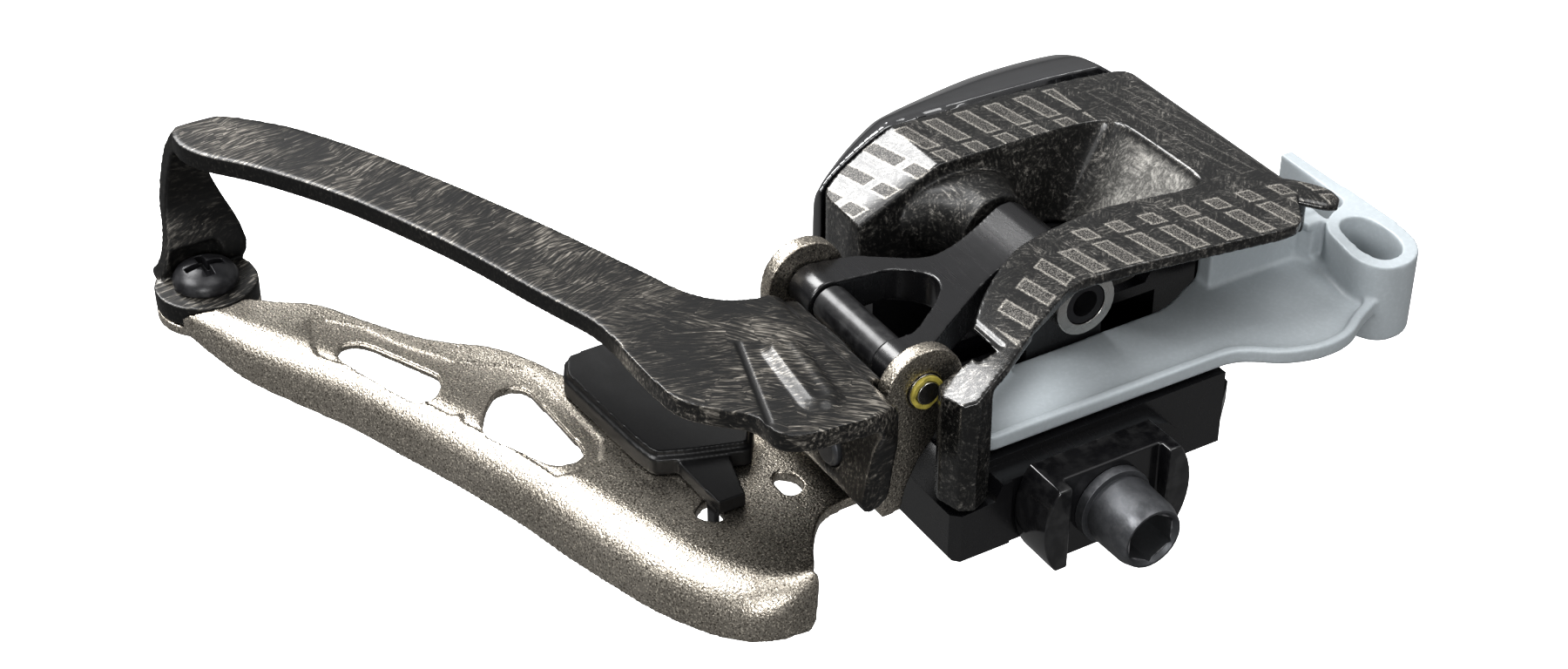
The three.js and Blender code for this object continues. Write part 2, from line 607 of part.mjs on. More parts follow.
function wormBush(y0, y1) {
  const bore = ring(WORM_AXIS, JOURNAL_R + RUN_FIT, 14);
  return prismY(ring(WORM_AXIS, WORM_BUSH_R, 18), y0, y1, [bore]);
}

// Motor above the worm: can, collar and end boss, with two flats and a shaft socket.
function driveMotor() {
  const flat = (from, to) =>
    box(SECTOR_X - 6, SECTOR_X + 6, 17, 36, WORM_Z + from, WORM_Z + to);
  const can = sumOf([
    rodY(WORM_AXIS, 4.4, 17.9, 33.0, 26),
    rodY(WORM_AXIS, 2.6, 16.2, 18.2, 20),
    rodY(WORM_AXIS, 2.2, 32.8, 34.2, 18),
  ]);
  return cut(can, [flat(3.7, 6), flat(-6, -3.7), rodY(WORM_AXIS, 1.3, 15, 17.8, 14)]);
}

// ---- mount ------------------------------------------------------------------
// Side views: y, z.
const BOSS_SIDE = [
  [-19.2, 1.6], [-19.2, BODY_LOW + 0.3], [10.6, BODY_LOW + 0.3], [13.0, -4.6],
  [14.3, -2.6], [14.6, -0.4], [14.0, 2.0], [12.2, 3.8], [10.4, 4.2], [-12.4, 4.2],
  [-13.4, 2.0],
];
const BAR_SIDE = [
  [-19.0, BODY_LOW], [23.6, BODY_LOW], [23.6, 5.2], [-12.4, 5.2], [-13.4, 2.0],
  [-19.0, 1.6],
];
const SCOOP_FLOOR_SIDE = [
  [13.4, 6.0], [26.5, 6.0], [26.5, -3.0], [33.0, -3.0], [33.0, 10.4], [26.5, 10.4],
  [24.8, 7.6], [13.4, 7.6],
];
const LUG_TOP = 19.8;
const LUG_SIDE = [
  [BODY_Y - 5.4, -4.0], [BODY_Y + 6.4, -4.0],
  ...arc(BODY_PIVOT, 5.6, 0, 180, 9).map(([y, z]) => [y, Math.min(z, LUG_TOP)]),
];
const LOW_LUG_SIDE = [
  [BODY_Y - 4.6, -3.0], [BODY_Y + 4.6, -3.0], [BODY_Y + 3.4, 6.6], [BODY_Y, 7.4],
  [BODY_Y - 3.4, 6.6],
];
// Floor plate: x, y.
const FLOOR_PLAN = [
  [-4.0, -16.0], [-4.0, 23.6], [-10.0, 30.0], [-21.0, 32.0], [-21.0, 40.0],
  [-36.3, 40.0], [-36.3, -8.0], [-30.0, -18.0], [-4.4, -18.6],
];
// Bolt: radius, x.
const BOLT_PROFILE = [
  [0, -11.5], [1.9, -11.5], [BOLT_R, -10.8], [BOLT_R, 4.74], [5.1, 4.74], [5.1, 6.1],
  [4.35, 6.15], [BOLT_HEAD_R + 0.12, 6.9], [BOLT_HEAD_R, 11.8],
  [BOLT_HEAD_R - 0.5, BOLT_END], [0, BOLT_END],
];

// Boss bar with a rounded end, a floor plate and the pivot lugs.
function mountBody() {
  const body = sumOf([
    prismX(BOSS_SIDE, -9, 0),
    prismX(BAR_SIDE, -16.4, -3.5),
    prismZ(FLOOR_PLAN, BODY_LOW, -2.6),
    prismX(SCOOP_FLOOR_SIDE, -36.3, -22.0),
    prismX(LUG_SIDE, -20.7, -16.7),
    prismX(LOW_LUG_SIDE, -30.4, -26.4),
  ]);
  return cut(body, [
    rodX(BOLT_AXIS, BOLT_BORE_R, -14, 2, 20),
    box(-0.3, 1, -11.0, 20, -20, 20), // the washer's seat, set back from the lower pad
    rodX(BODY_PIVOT, FRONT_BUSH_R, -21, -16, 28),
    rodX(BODY_LOW_PIVOT, LOW_PIN_R, -30.2, -14.4, 16),
    // room for the inner link between its lugs
    box(-26.35, -17.65, -25, 12.2, -2.5, 10),
    box(-29.0, -15.5, -25, -13.0, -2.5, 10),
    rodZ(SET_SCREW, SET_SCREW_R + RUN_FIT, -7, 3.6, 16),
    // chamfers at the boss's lower end
    prismZ([[-2.0, -20.0], [1.0, -20.0], [1.0, -17.2]], -9, 9),
    prismX([[-20.0, -3.6], [-20.0, -8.0], [-16.8, -8.0]], -40, 2),
  ]);
}

function mountBolt() {
  const socketRadius = BOLT_AF / Math.sqrt(3);
  const rimRing = (radius, x) => ring(BOLT_AXIS, radius, 18).map(([y, z]) => [x, y, z]);
  return cut(lathe(BOLT_PROFILE, "x", [0, 0, 0], 28), [
    prismX(ring(BOLT_AXIS, socketRadius, 6, Math.PI / 6), 8.2, 14),
    loft([rimRing(3.3, BOLT_END - 0.5), rimRing(3.9, BOLT_END + 0.2)]),
  ]);
}

// Disc with two flats and a channel across its front face.
function mountWasher() {
  const halfAngle = (Math.asin(WASHER_FLAT / WASHER_R) * 180) / Math.PI;
  const outline = [0, 180].flatMap((middle) =>
    arc(BOLT_AXIS, WASHER_R, middle - halfAngle, middle + halfAngle, 9),
  );
  return cut(prismX(outline, 0.02, WASHER_T), [
    box(WASHER_T - 1.9, WASHER_T + 1, -7.1, 7.1, -8, 8),
    rodX(BOLT_AXIS, BOLT_BORE_R, -1, 8, 20),
  ]);
}

// Screw with a thin outboard tip and a hexagon socket at its inboard end.
function setScrew() {
  return rodZ(SET_SCREW, SET_SCREW_R, BODY_LOW + 0.4, 2.6, 16)
    .add(rodZ(SET_SCREW, 1.0, 2.5, 3.4, 14))
    .subtract(rodZ(SET_SCREW, 0.87, -7, -3.4, 6));
}

// ---- carbon shell -----------------------------------------------------------
// Outside and inside of the roof and the rounded upper side: y, z.
const SHELL_SIDE = [
  [-20.0, 2.4], [-20.0, 17.4], [-16.0, 18.6], [-11.0, 20.0], [-5.0, 21.2],
  [2.0, ROOF_Z], [38.0, ROOF_Z], [40.4, 21.6], [42.2, 20.4], [43.2, 18.6],
  [43.5, 16.4], [43.5, 2.4],
];
const SHELL_SIDE_IN = [
  [-22.0, 0], [-22.0, 15.6], [-16.4, 17.0], [-11.4, 18.4], [-5.2, 19.6],
  [2.0, ROOF_Z - SHELL_T], [37.6, ROOF_Z - SHELL_T], [39.8, 20.0], [41.0, 19.0],
  [41.7, 17.8], [41.9, 16.0], [41.9, 0],
];
// Full plan of the shell, with the scoop filled in: x, y.
const SHELL_PLAN = [
  [-3.6, -19.4], [-0.2, -18.6], [0.6, -16.8], [-2.1, -10.9], [-5.4, -5.0], [-9.9, 4.0],
  [-9.0, 11.7], [-7.2, 23.6], [-5.6, 33.6], [-6.4, 36.0], [-12.6, 40.0], [-13.4, 43.6],
  [-48.3, 43.6], [-48.9, 39.5], [-49.7, 34.0], [-50.9, 24.0], [-51.9, 12.0],
  [-52.2, 5.5], [-51.7, 0.5], [-50.3, -5.0], [-48.8, -7.7], [-38.6, -8.0],
  [-20.0, -8.0], [-6.2, -12.2], [-5.4, -18.6],
];
// The hollow leaves the leg, the end and side walls and the scoop: x, y.
const SHELL_PLAN_IN = [
  [-1.0, -14.0], [6.0, -14.0], [12.0, -5.0], [12.0, 50.0], [-12.0, 50.0],
  [-15.0, 41.9], [-46.8, 41.9], [-47.4, 39.4], [-48.1, 34.0], [-49.3, 24.0],
  [-50.3, 12.0], [-50.6, 5.5], [-50.1, 0.9], [-48.9, -4.2], [-47.9, -6.2],
  [-38.2, -6.4], [-20.0, -20.0], [-6.2, -14.0],
];
// Scoop at the roof: x, y, then how far x and y move per millimetre of widening.
const SCOOP_TOP = [
  [-41.0, -40, -1], [-40.9, 6.4, -1], [-40.6, 13.5, -1], [-40.4, 20.6, -1],
  [-40.0, 26.1, -1], [-38.8, 30.4, -0.7, 0.6], [-36.6, 31.5, 0, 1], [-25.6, 31.9, 0, 1],
  [-20.3, 31.9, 1, 1], [-19.4, 29.4, 1], [-20.5, 23.3, 1], [-21.9, 15.8, 1],
  [-20.9, 6.6, 1], [-19.4, 1.2, 1], [-14.8, -5.9, 1], [-9.5, -11.6, 1],
  [-6.1, -12.3], [-6.1, -40],
];
// Scoop at its floor, same columns; the remaining points are those of the roof.
const SCOOP_LOW = [
  [-37.6, -40, -1], [-37.8, 3.0, -1], [-38.0, 10.0, -1], [-38.0, 15.0, -1],
  [-38.0, 19.6, -1], [-37.0, 21.6, -0.7, 0.6], [-35.6, 22.0, 0, 1], [-27.0, 21.0, 0, 1],
  [-22.9, 20.4, 1, 1], [-22.5, 20.2, 1], [-22.2, 17.4, 1], [-22.0, 13.0, 1],
];
SCOOP_LOW.push(...SCOOP_TOP.slice(SCOOP_LOW.length));
// Boss round the output shaft: x, centre y, centre z, half size in y, half size in z.
const SHAFT_BOSS = [
  [-40.2, 6.8, 14.2, 10.0, 5.8],
  [-37.6, 7.6, 15.0, 7.4, 5.6],
  [-35.0, BODY_Y, 15.5, 5.6, 5.2],
  [-31.9, BODY_Y, BODY_Z, SHAFT_BOSS_R, SHAFT_BOSS_R],
];
// Rounded lip at the upper edge: centre x, y, z, half width in plan, half size in z.
const LIP = [
  [-16.5, 38.0, 20.6, 2.0, 0.9],
  [-14.0, 40.3, 20.7, 2.0, 1.0],
  [-10.6, 43.3, 20.3, 1.8, 0.95],
  [-9.4, 44.4, 19.8, 0.9, 0.5],
];

// Everything above the slope of the shell's rear end, lowered by the given depth.
function endSlope(depth) {
  const slope = loft(
    [-70, -30].map((x) => [
      [x, -30, 17.2 - depth],
      [x, -7.7 + depth * 0.2, 17.2 - depth],
      [x, 5.4 + depth * 0.2, ROOF_Z + 0.05 - depth],
      [x, 5.4 + depth * 0.2, 40],
      [x, -30, 40],
    ]),
  );
  return slope.intersect(box(-70, -33, -40, 10, 0, 50));
}

function scoop(widening) {
  const row = (table, z) =>
    table.map(([x, y, growX = 0, growY = 0]) => [
      x + growX * widening,
      y + growY * widening,
      z,
    ]);
  return loft([row(SCOOP_LOW, 9.0 - widening), row(SCOOP_TOP, ROOF_Z + 0.3)]);
}

function carbonShell() {
  const outside = cut(prismZ(SHELL_PLAN, 2.4, 30).intersect(prismX(SHELL_SIDE, -70, 10)), [
    endSlope(0),
    scoop(0),
  ]);
  const hollow = cut(prismZ(SHELL_PLAN_IN, -1, 40).intersect(prismX(SHELL_SIDE_IN, -70, 14)), [
    endSlope(SHELL_T),
    scoop(1.1),
  ]);
  const bossSections = SHAFT_BOSS.map(([x, y, z, halfY, halfZ]) =>
    ring([0, 0], 1, 28).map(([u, v]) => [x, y + halfY * u, z + halfZ * v]),
  );
  const lipSections = LIP.map(([x, y, z, half, halfZ]) =>
    ring([0, 0], 1, 12).map(([u, v]) => [
      x - 0.67 * half * u,
      y + 0.74 * half * u,
      z + halfZ * v,
    ]),
  );
  const shell = sumOf([outside.subtract(hollow), loft(bossSections), loft(lipSections)]);
  // Only the leg at the lower front reaches all the way inboard; the other walls
  // stop above the housing and the tray.
  return cut(shell, [
    box(-70, -6.05, -40, 60, -5, 9.6),
    box(-70, 10, -13.9, 60, -5, 9.6),
    box(-6.2, 10, -13.9, 38.9, -5, 18.0),
    box(-21.6, 10, 36.5, 60, -5, 14.4),
    box(-21.9, -16.0, 1.6, 14.6, -5, 20.1),
    rodX(BODY_PIVOT, 2.8, -50, -30, 24), // shaft passage
    box(-19.6, -5, -13.4, 38, 0, 20.0),
  ]);
}

// ---- housing, cover and circuit board -----------------------------------------
// Housing: x, y.
const HOUSING_PLAN = [
  [-37.1, -7.2], [-48.7, -7.0], [-50.2, -4.6], [-51.6, 0.5], [-52.1, 5.5],
  [-51.8, 12.0], [-50.8, 24.0], [-49.6, 34.0], [-48.8, 39.5], [-48.4, 41.2],
  [-37.1, 41.2],
];
const WORM_BLOCKS = [[-1.2, 1.8], [13.7, 15.9]]; // y ranges of the worm's bearing blocks
// Rear cover, stations along the seam: x, y on the seam, then x, y of the widest bulge.
const COVER = [
  [-49.3, -7.6, -51.2, -7.8], [-50.7, -5.0, -53.4, -5.0], [-52.1, 0.4, -56.6, -0.4],
  [-52.6, 5.5, -59.2, 5.0], [-52.3, 12.0, -61.8, 12.5], [-51.3, 24.0, -64.5, 24.0],
  [-50.1, 34.0, -64.5, 35.4], [-49.4, 39.5, -62.4, 38.6], [-48.9, 43.6, -54.0, 41.4],
];
// Levels of the cover: z, share of the full bulge.
const COVER_LEVELS = [
  [BODY_LOW, 0.6], [-2.0, 0.92], [10.0, 1.0], [16.0, 0.95], [19.0, 0.78], [20.8, 0.5],
  [21.8, 0.16],
];
const COVER_TOP = ROOF_Z - 0.2;
const COVER_BEND = 10; // above this z, levels squeeze to follow the top line
// Hollow of the cover: x, y.
const COVER_HOLLOW = [
  [-56.8, 5.5], [-59.4, 12.5], [-62.0, 24.0], [-62.0, 34.4], [-60.2, 39.0],
  [-48.0, 39.0], [-48.0, 5.5],
];

// Open tray with the worm's bearing blocks and the output shaft's rear bearing.
function motorHousing() {
  const floor = BODY_LOW + 1.0; // the bearing's parts start inside the housing's floor
  const blockLow = BODY_LOW + 1.5;
  const bearingSide = [
    [BODY_Y - 4.0, floor],
    [BODY_Y + 4.0, floor],
    ...arc(BODY_PIVOT, 4.0, 0, 180, 9),
  ];
  const tray = prismZ(HOUSING_PLAN, BODY_LOW, 9.2).subtract(
    prismZ(inset(HOUSING_PLAN, 1.1), BODY_LOW + 1.6, 12),
  );
  const blocks = WORM_BLOCKS.map(([y0, y1]) =>
    box(SECTOR_X - 3.4, SECTOR_X + 3.4, y0, y1, blockLow, WORM_Z + 2.9),
  );
  const bushSeats = WORM_BLOCKS.map(([y0, y1]) =>
    rodY(WORM_AXIS, WORM_BUSH_R, y0 - 0.1, y1 + 0.1, 18),
  );
  return cut(sumOf([tray, ...blocks]), bushSeats)
    .add(prismX(bearingSide, ...REAR_BUSH_X))
    .add(box(-41.6, -37.9, BODY_Y - 4.6, BODY_Y - 2.6, floor, 6.0))
    .subtract(rodX(BODY_PIVOT, REAR_BUSH_R, -43, -41, 24))
    .subtract(rodY(WORM_AXIS, 3.0, -0.6, 14.2, 20)); // room for the worm
}

// Height of the cover's top line, which falls away at both ends.
function coverTopAt(y) {
  return Math.min(
    COVER_TOP,
    17.2 + Math.max(0, y + 7.6) * 0.35,
    COVER_TOP - Math.max(0, y - 38.0) * 0.75,
  );
}

// One level of the cover: along the bulge, then back along the seam.
function coverRow([level, bulge]) {
  const at = (x, y) => {
    const squeeze = (coverTopAt(y) - COVER_BEND) / (COVER_TOP - COVER_BEND);
    return [x, y, level < COVER_BEND ? level : COVER_BEND + (level - COVER_BEND) * squeeze];
  };
  const outer = COVER.map(([seamX, seamY, wideX, wideY]) =>
    at(seamX + (wideX - seamX) * bulge, seamY + (wideY - seamY) * bulge),
  );
  const seam = COVER.slice(0, -1).map(([x, y]) => at(x, y));
  return [...outer, ...seam.reverse()];
}

const rearCover = () =>
  loft(COVER_LEVELS.map(coverRow)).subtract(prismZ(COVER_HOLLOW, -2.0, 16.0));

// Board with two raised blocks on its front face.
function circuitBoard() {
  return sumOf([
    box(-59.6, -58.4, 17.0, 36.0, -1.4, 14.0),
    box(-58.5, -57.0, 19.0, 26.0, 2.0, 9.0),
    box(-58.5, -57.4, 29.0, 34.0, 4.0, 8.0),
  ]);
}

// ---- battery bay ------------------------------------------------------------
// Outlines: x, y, corner reach.
const TRAY = [
  [-6.6, -14.2, 1.5], [-4.2, -12.6, 2.5], [-3.9, 24.6, 2.5], [-2.4, 27.4, 2],
  [-0.2, 30.0, 3], [1.4, 35.0, 3], [0.9, 40.0, 3], [-1.6, 43.8, 3], [-3.2, 47.8, 0.5],
  [-16.0, 48.2, 0.5], [-20.2, 44.0, 1], [-20.2, 31.2, 1], [-16.6, 23.8, 2],
  [-16.4, -1.0, 2], [-9.6, -13.2, 1.5],
];
const LOOP = [
  [-31.4, 56.2, 0.3], [-31.4, 54.2, 0.3], [-17.6, 53.9, 1.5], [-16.4, 50.0, 2.0],
  [-14.0, 47.2, 2.0], [-6.0, 45.6, 2.0], [-2.2, 47.6, 2.5], [-1.9, 52.0, 2.5],
  [-4.8, 55.4, 2.5], [-9.6, 56.3, 2.0],
];
const LOOP_SLOT = [
  [-14.2, 49.8, 1], [-13.8, 53.4, 1], [-8.6, 53.8, 1.5], [-5.0, 52.2, 1.5],
  [-4.6, 49.6, 1.2], [-7.8, 48.0, 1.2],
];

// Rimmed tray with a wall at its upper rear and a slotted loop at its upper end.
function batteryCover() {
  const loop = rounded(LOOP, 3);
  const rearWall = (z0, z1) => box(-20.2, -17.4, 31.6, 48.4, z0, z1);
  const cover = sumOf([
    prismZ(rounded(TRAY, 3), 5.8, 7.9),
    rearWall(6.4, 13.6),
    box(-20.0, -15.4, 45.6, 48.8, 6.4, 13.2),
    prismZ(loop, 1.6, 13.0),
  ]);
  const recess = cut(prismZ(rounded(inset(TRAY, 1.3), 3, 1.6), 7.1, 12), [
    prismZ(loop, 0, 20),
    rearWall(0, 20),
  ]);
  return cut(cover, [
    recess,
    box(-22, -14.0, -1.0, 31.5, 7.1, 12), // the tray's rear edge has no rim
    prismZ(rounded(LOOP_SLOT, 2), -2, 16),
  ]);
}

// Block with three notches in its upper face.
function contactBlock() {
  const notches = [-33.6, -29.8, -26.0].map((x) => box(x, x + 2, 39.2, 41, 4, 10));
  return cut(box(-35.6, -22.0, 33.4, 40.0, 2.0, 12.6), notches);
}

// ---- finishes -----------------------------------------------------------------
const CARBON = 0x2b2b2c;
const BLACK = 0x17181a;
const STEEL = 0x8d8d8c;
const FASTENER = 0x1b1c1e;
const FINISH = {
  mountBody: { color: BLACK, roughness: 0.35, metalness: 0.6 },
  washer: { color: 0x0c0c0e, roughness: 0.2, metalness: 0.6 },
  mountBolt: { color: 0x3a3d42, roughness: 0.5, metalness: 0.6 },
  dullSteel: { color: STEEL, roughness: 0.4, metalness: 0.9 },
  steel: { color: STEEL, roughness: 0.35, metalness: 0.9 },
  brightSteel: { color: STEEL, roughness: 0.3, metalness: 0.9 },
  darkSteel: { color: 0x3b3b3c, roughness: 0.3, metalness: 0.9 },
  nickel: { color: 0xb5ab9c, roughness: 0.4, metalness: 0.9 },
  bronze: { color: 0xa88a54, roughness: 0.4, metalness: 0.8 },
  clip: { color: 0x2a2a2a, roughness: 0.4, metalness: 0.8 },
  tailScrew: { color: FASTENER, roughness: 0.3, metalness: 0.7 },
  cageBolt: { color: FASTENER, roughness: 0.4, metalness: 0.7 },
  link: { color: BLACK, roughness: 0.45, metalness: 0.5 },
  sleeve: { color: BLACK, roughness: 0.35, metalness: 0.3 },
  carbon: { color: CARBON, roughness: 0.4, metalness: 0.1 },
  housing: { color: BLACK, roughness: 0.45, metalness: 0.0 },
  contacts: { color: BLACK, roughness: 0.5, metalness: 0.0 },
  gloss: { color: 0x0b0c0e, roughness: 0.15, metalness: 0.0 },
  board: { color: 0x1f5a3a, roughness: 0.6, metalness: 0.0 },
  pad: { color: 0x151515, roughness: 0.6, metalness: 0.0 },
  bayCover: { color: 0x9aa3a9, roughness: 0.5, metalness: 0.0 },
};

// ---- the assembly ---------------------------------------------------------------
const root = new THREE.Group();

function addPiece(name, solid, finish) {
  const { vertProperties, triVerts } = solid.getMesh();
  const indexed = new THREE.BufferGeometry();
  indexed.setAttribute("position", new THREE.BufferAttribute(vertProperties, 3));
  indexed.setIndex(new THREE.BufferAttribute(triVerts, 1));
  // separate triangles give every face its own flat normal
  const geometry = indexed.toNonIndexed().translate(0, FRAME_RISE, 0);
  geometry.computeVertexNormals();
  const mesh = new THREE.Mesh(geometry, new THREE.MeshStandardMaterial(finish));
  mesh.name = name;
  root.add(mesh);
}

addPiece("mount_body", mountBody(), FINISH.mountBody);
addPiece("mount_washer", mountWasher(), FINISH.washer);
addPiece("mount_bolt", mountBolt(), FINISH.mountBolt);
addPiece("set_screw", setScrew(), FINISH.dullSteel);
addPiece("carbon_shell", carbonShell(), FINISH.carbon);
addPiece("motor_housing", motorHousing(), FINISH.housing);
addPiece("rear_cover", rearCover(), FINISH.gloss);
addPiece("circuit_board", circuitBoard(), FINISH.board);
addPiece("drive_motor", driveMotor(), FINISH.steel);
addPiece("worm_shaft", wormShaft(), FINISH.brightSteel);
addPiece("worm_bush_front", wormBush(-0.9, 1.5), FINISH.bronze);
addPiece("worm_bush_rear", wormBush(13.9, 15.7), FINISH.bronze);
addPiece("drive_sector", driveSector(), FINISH.steel);
addPiece("output_shaft", outputShaft(), FINISH.darkSteel);
addPiece("shaft_clip", shaftClip(), FINISH.clip);
addPiece("front_pivot_bush", frontBush(), FINISH.brightSteel);
addPiece("rear_pivot_bush", rearBush(), FINISH.bronze);
addPiece("outer_link", outerLink(), FINISH.link);
addPiece("inner_link", innerLink(), FINISH.link);
addPiece("inner_link_body_pin", bodyLowPin(), FINISH.brightSteel);
addPiece("inner_link_cage_pin", cageLowPin(), FINISH.brightSteel);
addPiece("cage_pivot_pin", cagePivotPin(), FINISH.brightSteel);
addPiece("pivot_sleeve", pivotSleeve(), FINISH.sleeve);
addPiece("inner_cage_plate", innerCagePlate(), FINISH.nickel);
addPiece("outer_cage_plate", outerCagePlate(), FINISH.carbon);
addPiece("tail_screw", tailScrew(), FINISH.tailScrew);
addPiece("cage_bolt_front", cageBolt(CAGE_BOLT_XS[0]), FINISH.cageBolt);
addPiece("cage_bolt_rear", cageBolt(CAGE_BOLT_XS[1]), FINISH.cageBolt);
addPiece("anti_chafe_pad", antiChafePad(), FINISH.pad);
addPiece("battery_bay_cover", batteryCover(), FINISH.bayCover);
addPiece("contact_block", contactBlock(), FINISH.contacts);

export default root;
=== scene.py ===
# A battery-driven front derailleur for a bicycle, lying on its side.
# +X points to the nose and -X to the tail, the motor body is on the +Y side and the cage on
# the -Y side. +Z runs from the inner cage plate to the outer one and on up to the shell's roof.
# Pieces are drawn in mm with the bolt axis at y 0; materials work in metres.
import json
import math

import bmesh
import bpy
import numpy as np
from mathutils import Matrix, Vector


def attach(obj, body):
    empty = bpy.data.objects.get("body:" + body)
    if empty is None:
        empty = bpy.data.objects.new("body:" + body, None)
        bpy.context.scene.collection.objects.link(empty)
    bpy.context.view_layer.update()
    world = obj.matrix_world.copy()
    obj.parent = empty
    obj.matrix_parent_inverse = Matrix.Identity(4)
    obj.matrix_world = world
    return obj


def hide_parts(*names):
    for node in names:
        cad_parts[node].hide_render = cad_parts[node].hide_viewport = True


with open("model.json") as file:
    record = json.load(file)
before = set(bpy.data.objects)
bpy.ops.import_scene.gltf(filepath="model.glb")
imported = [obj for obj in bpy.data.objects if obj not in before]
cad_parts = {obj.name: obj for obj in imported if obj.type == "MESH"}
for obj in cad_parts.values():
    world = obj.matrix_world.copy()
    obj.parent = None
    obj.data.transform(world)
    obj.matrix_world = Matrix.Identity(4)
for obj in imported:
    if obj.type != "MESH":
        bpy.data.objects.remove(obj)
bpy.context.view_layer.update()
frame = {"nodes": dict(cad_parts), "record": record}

NODES = frame["nodes"]
SLOT_OF = {part["node"]: part["material_slot"] for part in frame["record"]["subparts"]}
MM = 0.001
BOLT_Y = 14.0  # Y of the bolt axis in the row frame, in mm

# the crease in the arm's top face: its two ends in mm, and the unit normal of its line
CREASE = ((-21.9, -36.0), (-5.0, -41.3))
CREASE_NORMAL = (0.2992, 0.9542)


# --------------------------------------------------------------- shader helpers
MATERIALS = {}
FALL = (1.0, 0.0)  # a remap that goes down instead of up


class Wire:
    """An output of a shader node. Arithmetic on it adds Math nodes."""

    def __init__(self, shader, socket):
        self.shader = shader
        self.socket = socket

    def __add__(self, other):
        return self.shader.math("ADD", self, other)

    def __sub__(self, other):
        return self.shader.math("SUBTRACT", self, other)

    def __rsub__(self, other):
        return self.shader.math("SUBTRACT", other, self)

    def __mul__(self, other):
        return self.shader.math("MULTIPLY", self, other)

    def __truediv__(self, other):
        return self.shader.math("DIVIDE", self, other)

    def __abs__(self):
        return self.shader.math("ABSOLUTE", self)

    def line(self, slope, offset):
        return self.shader.math("MULTIPLY_ADD", self, slope, offset)

    def swing(self, reach):
        """Turns 0 to 1 into -reach to +reach."""
        return self.line(2 * reach, -reach)

    def remap(self, low, high, to=(0.0, 1.0)):
        return self.shader.node("MapRange", {0: self, 1: low, 2: high, 3: to[0], 4: to[1]})


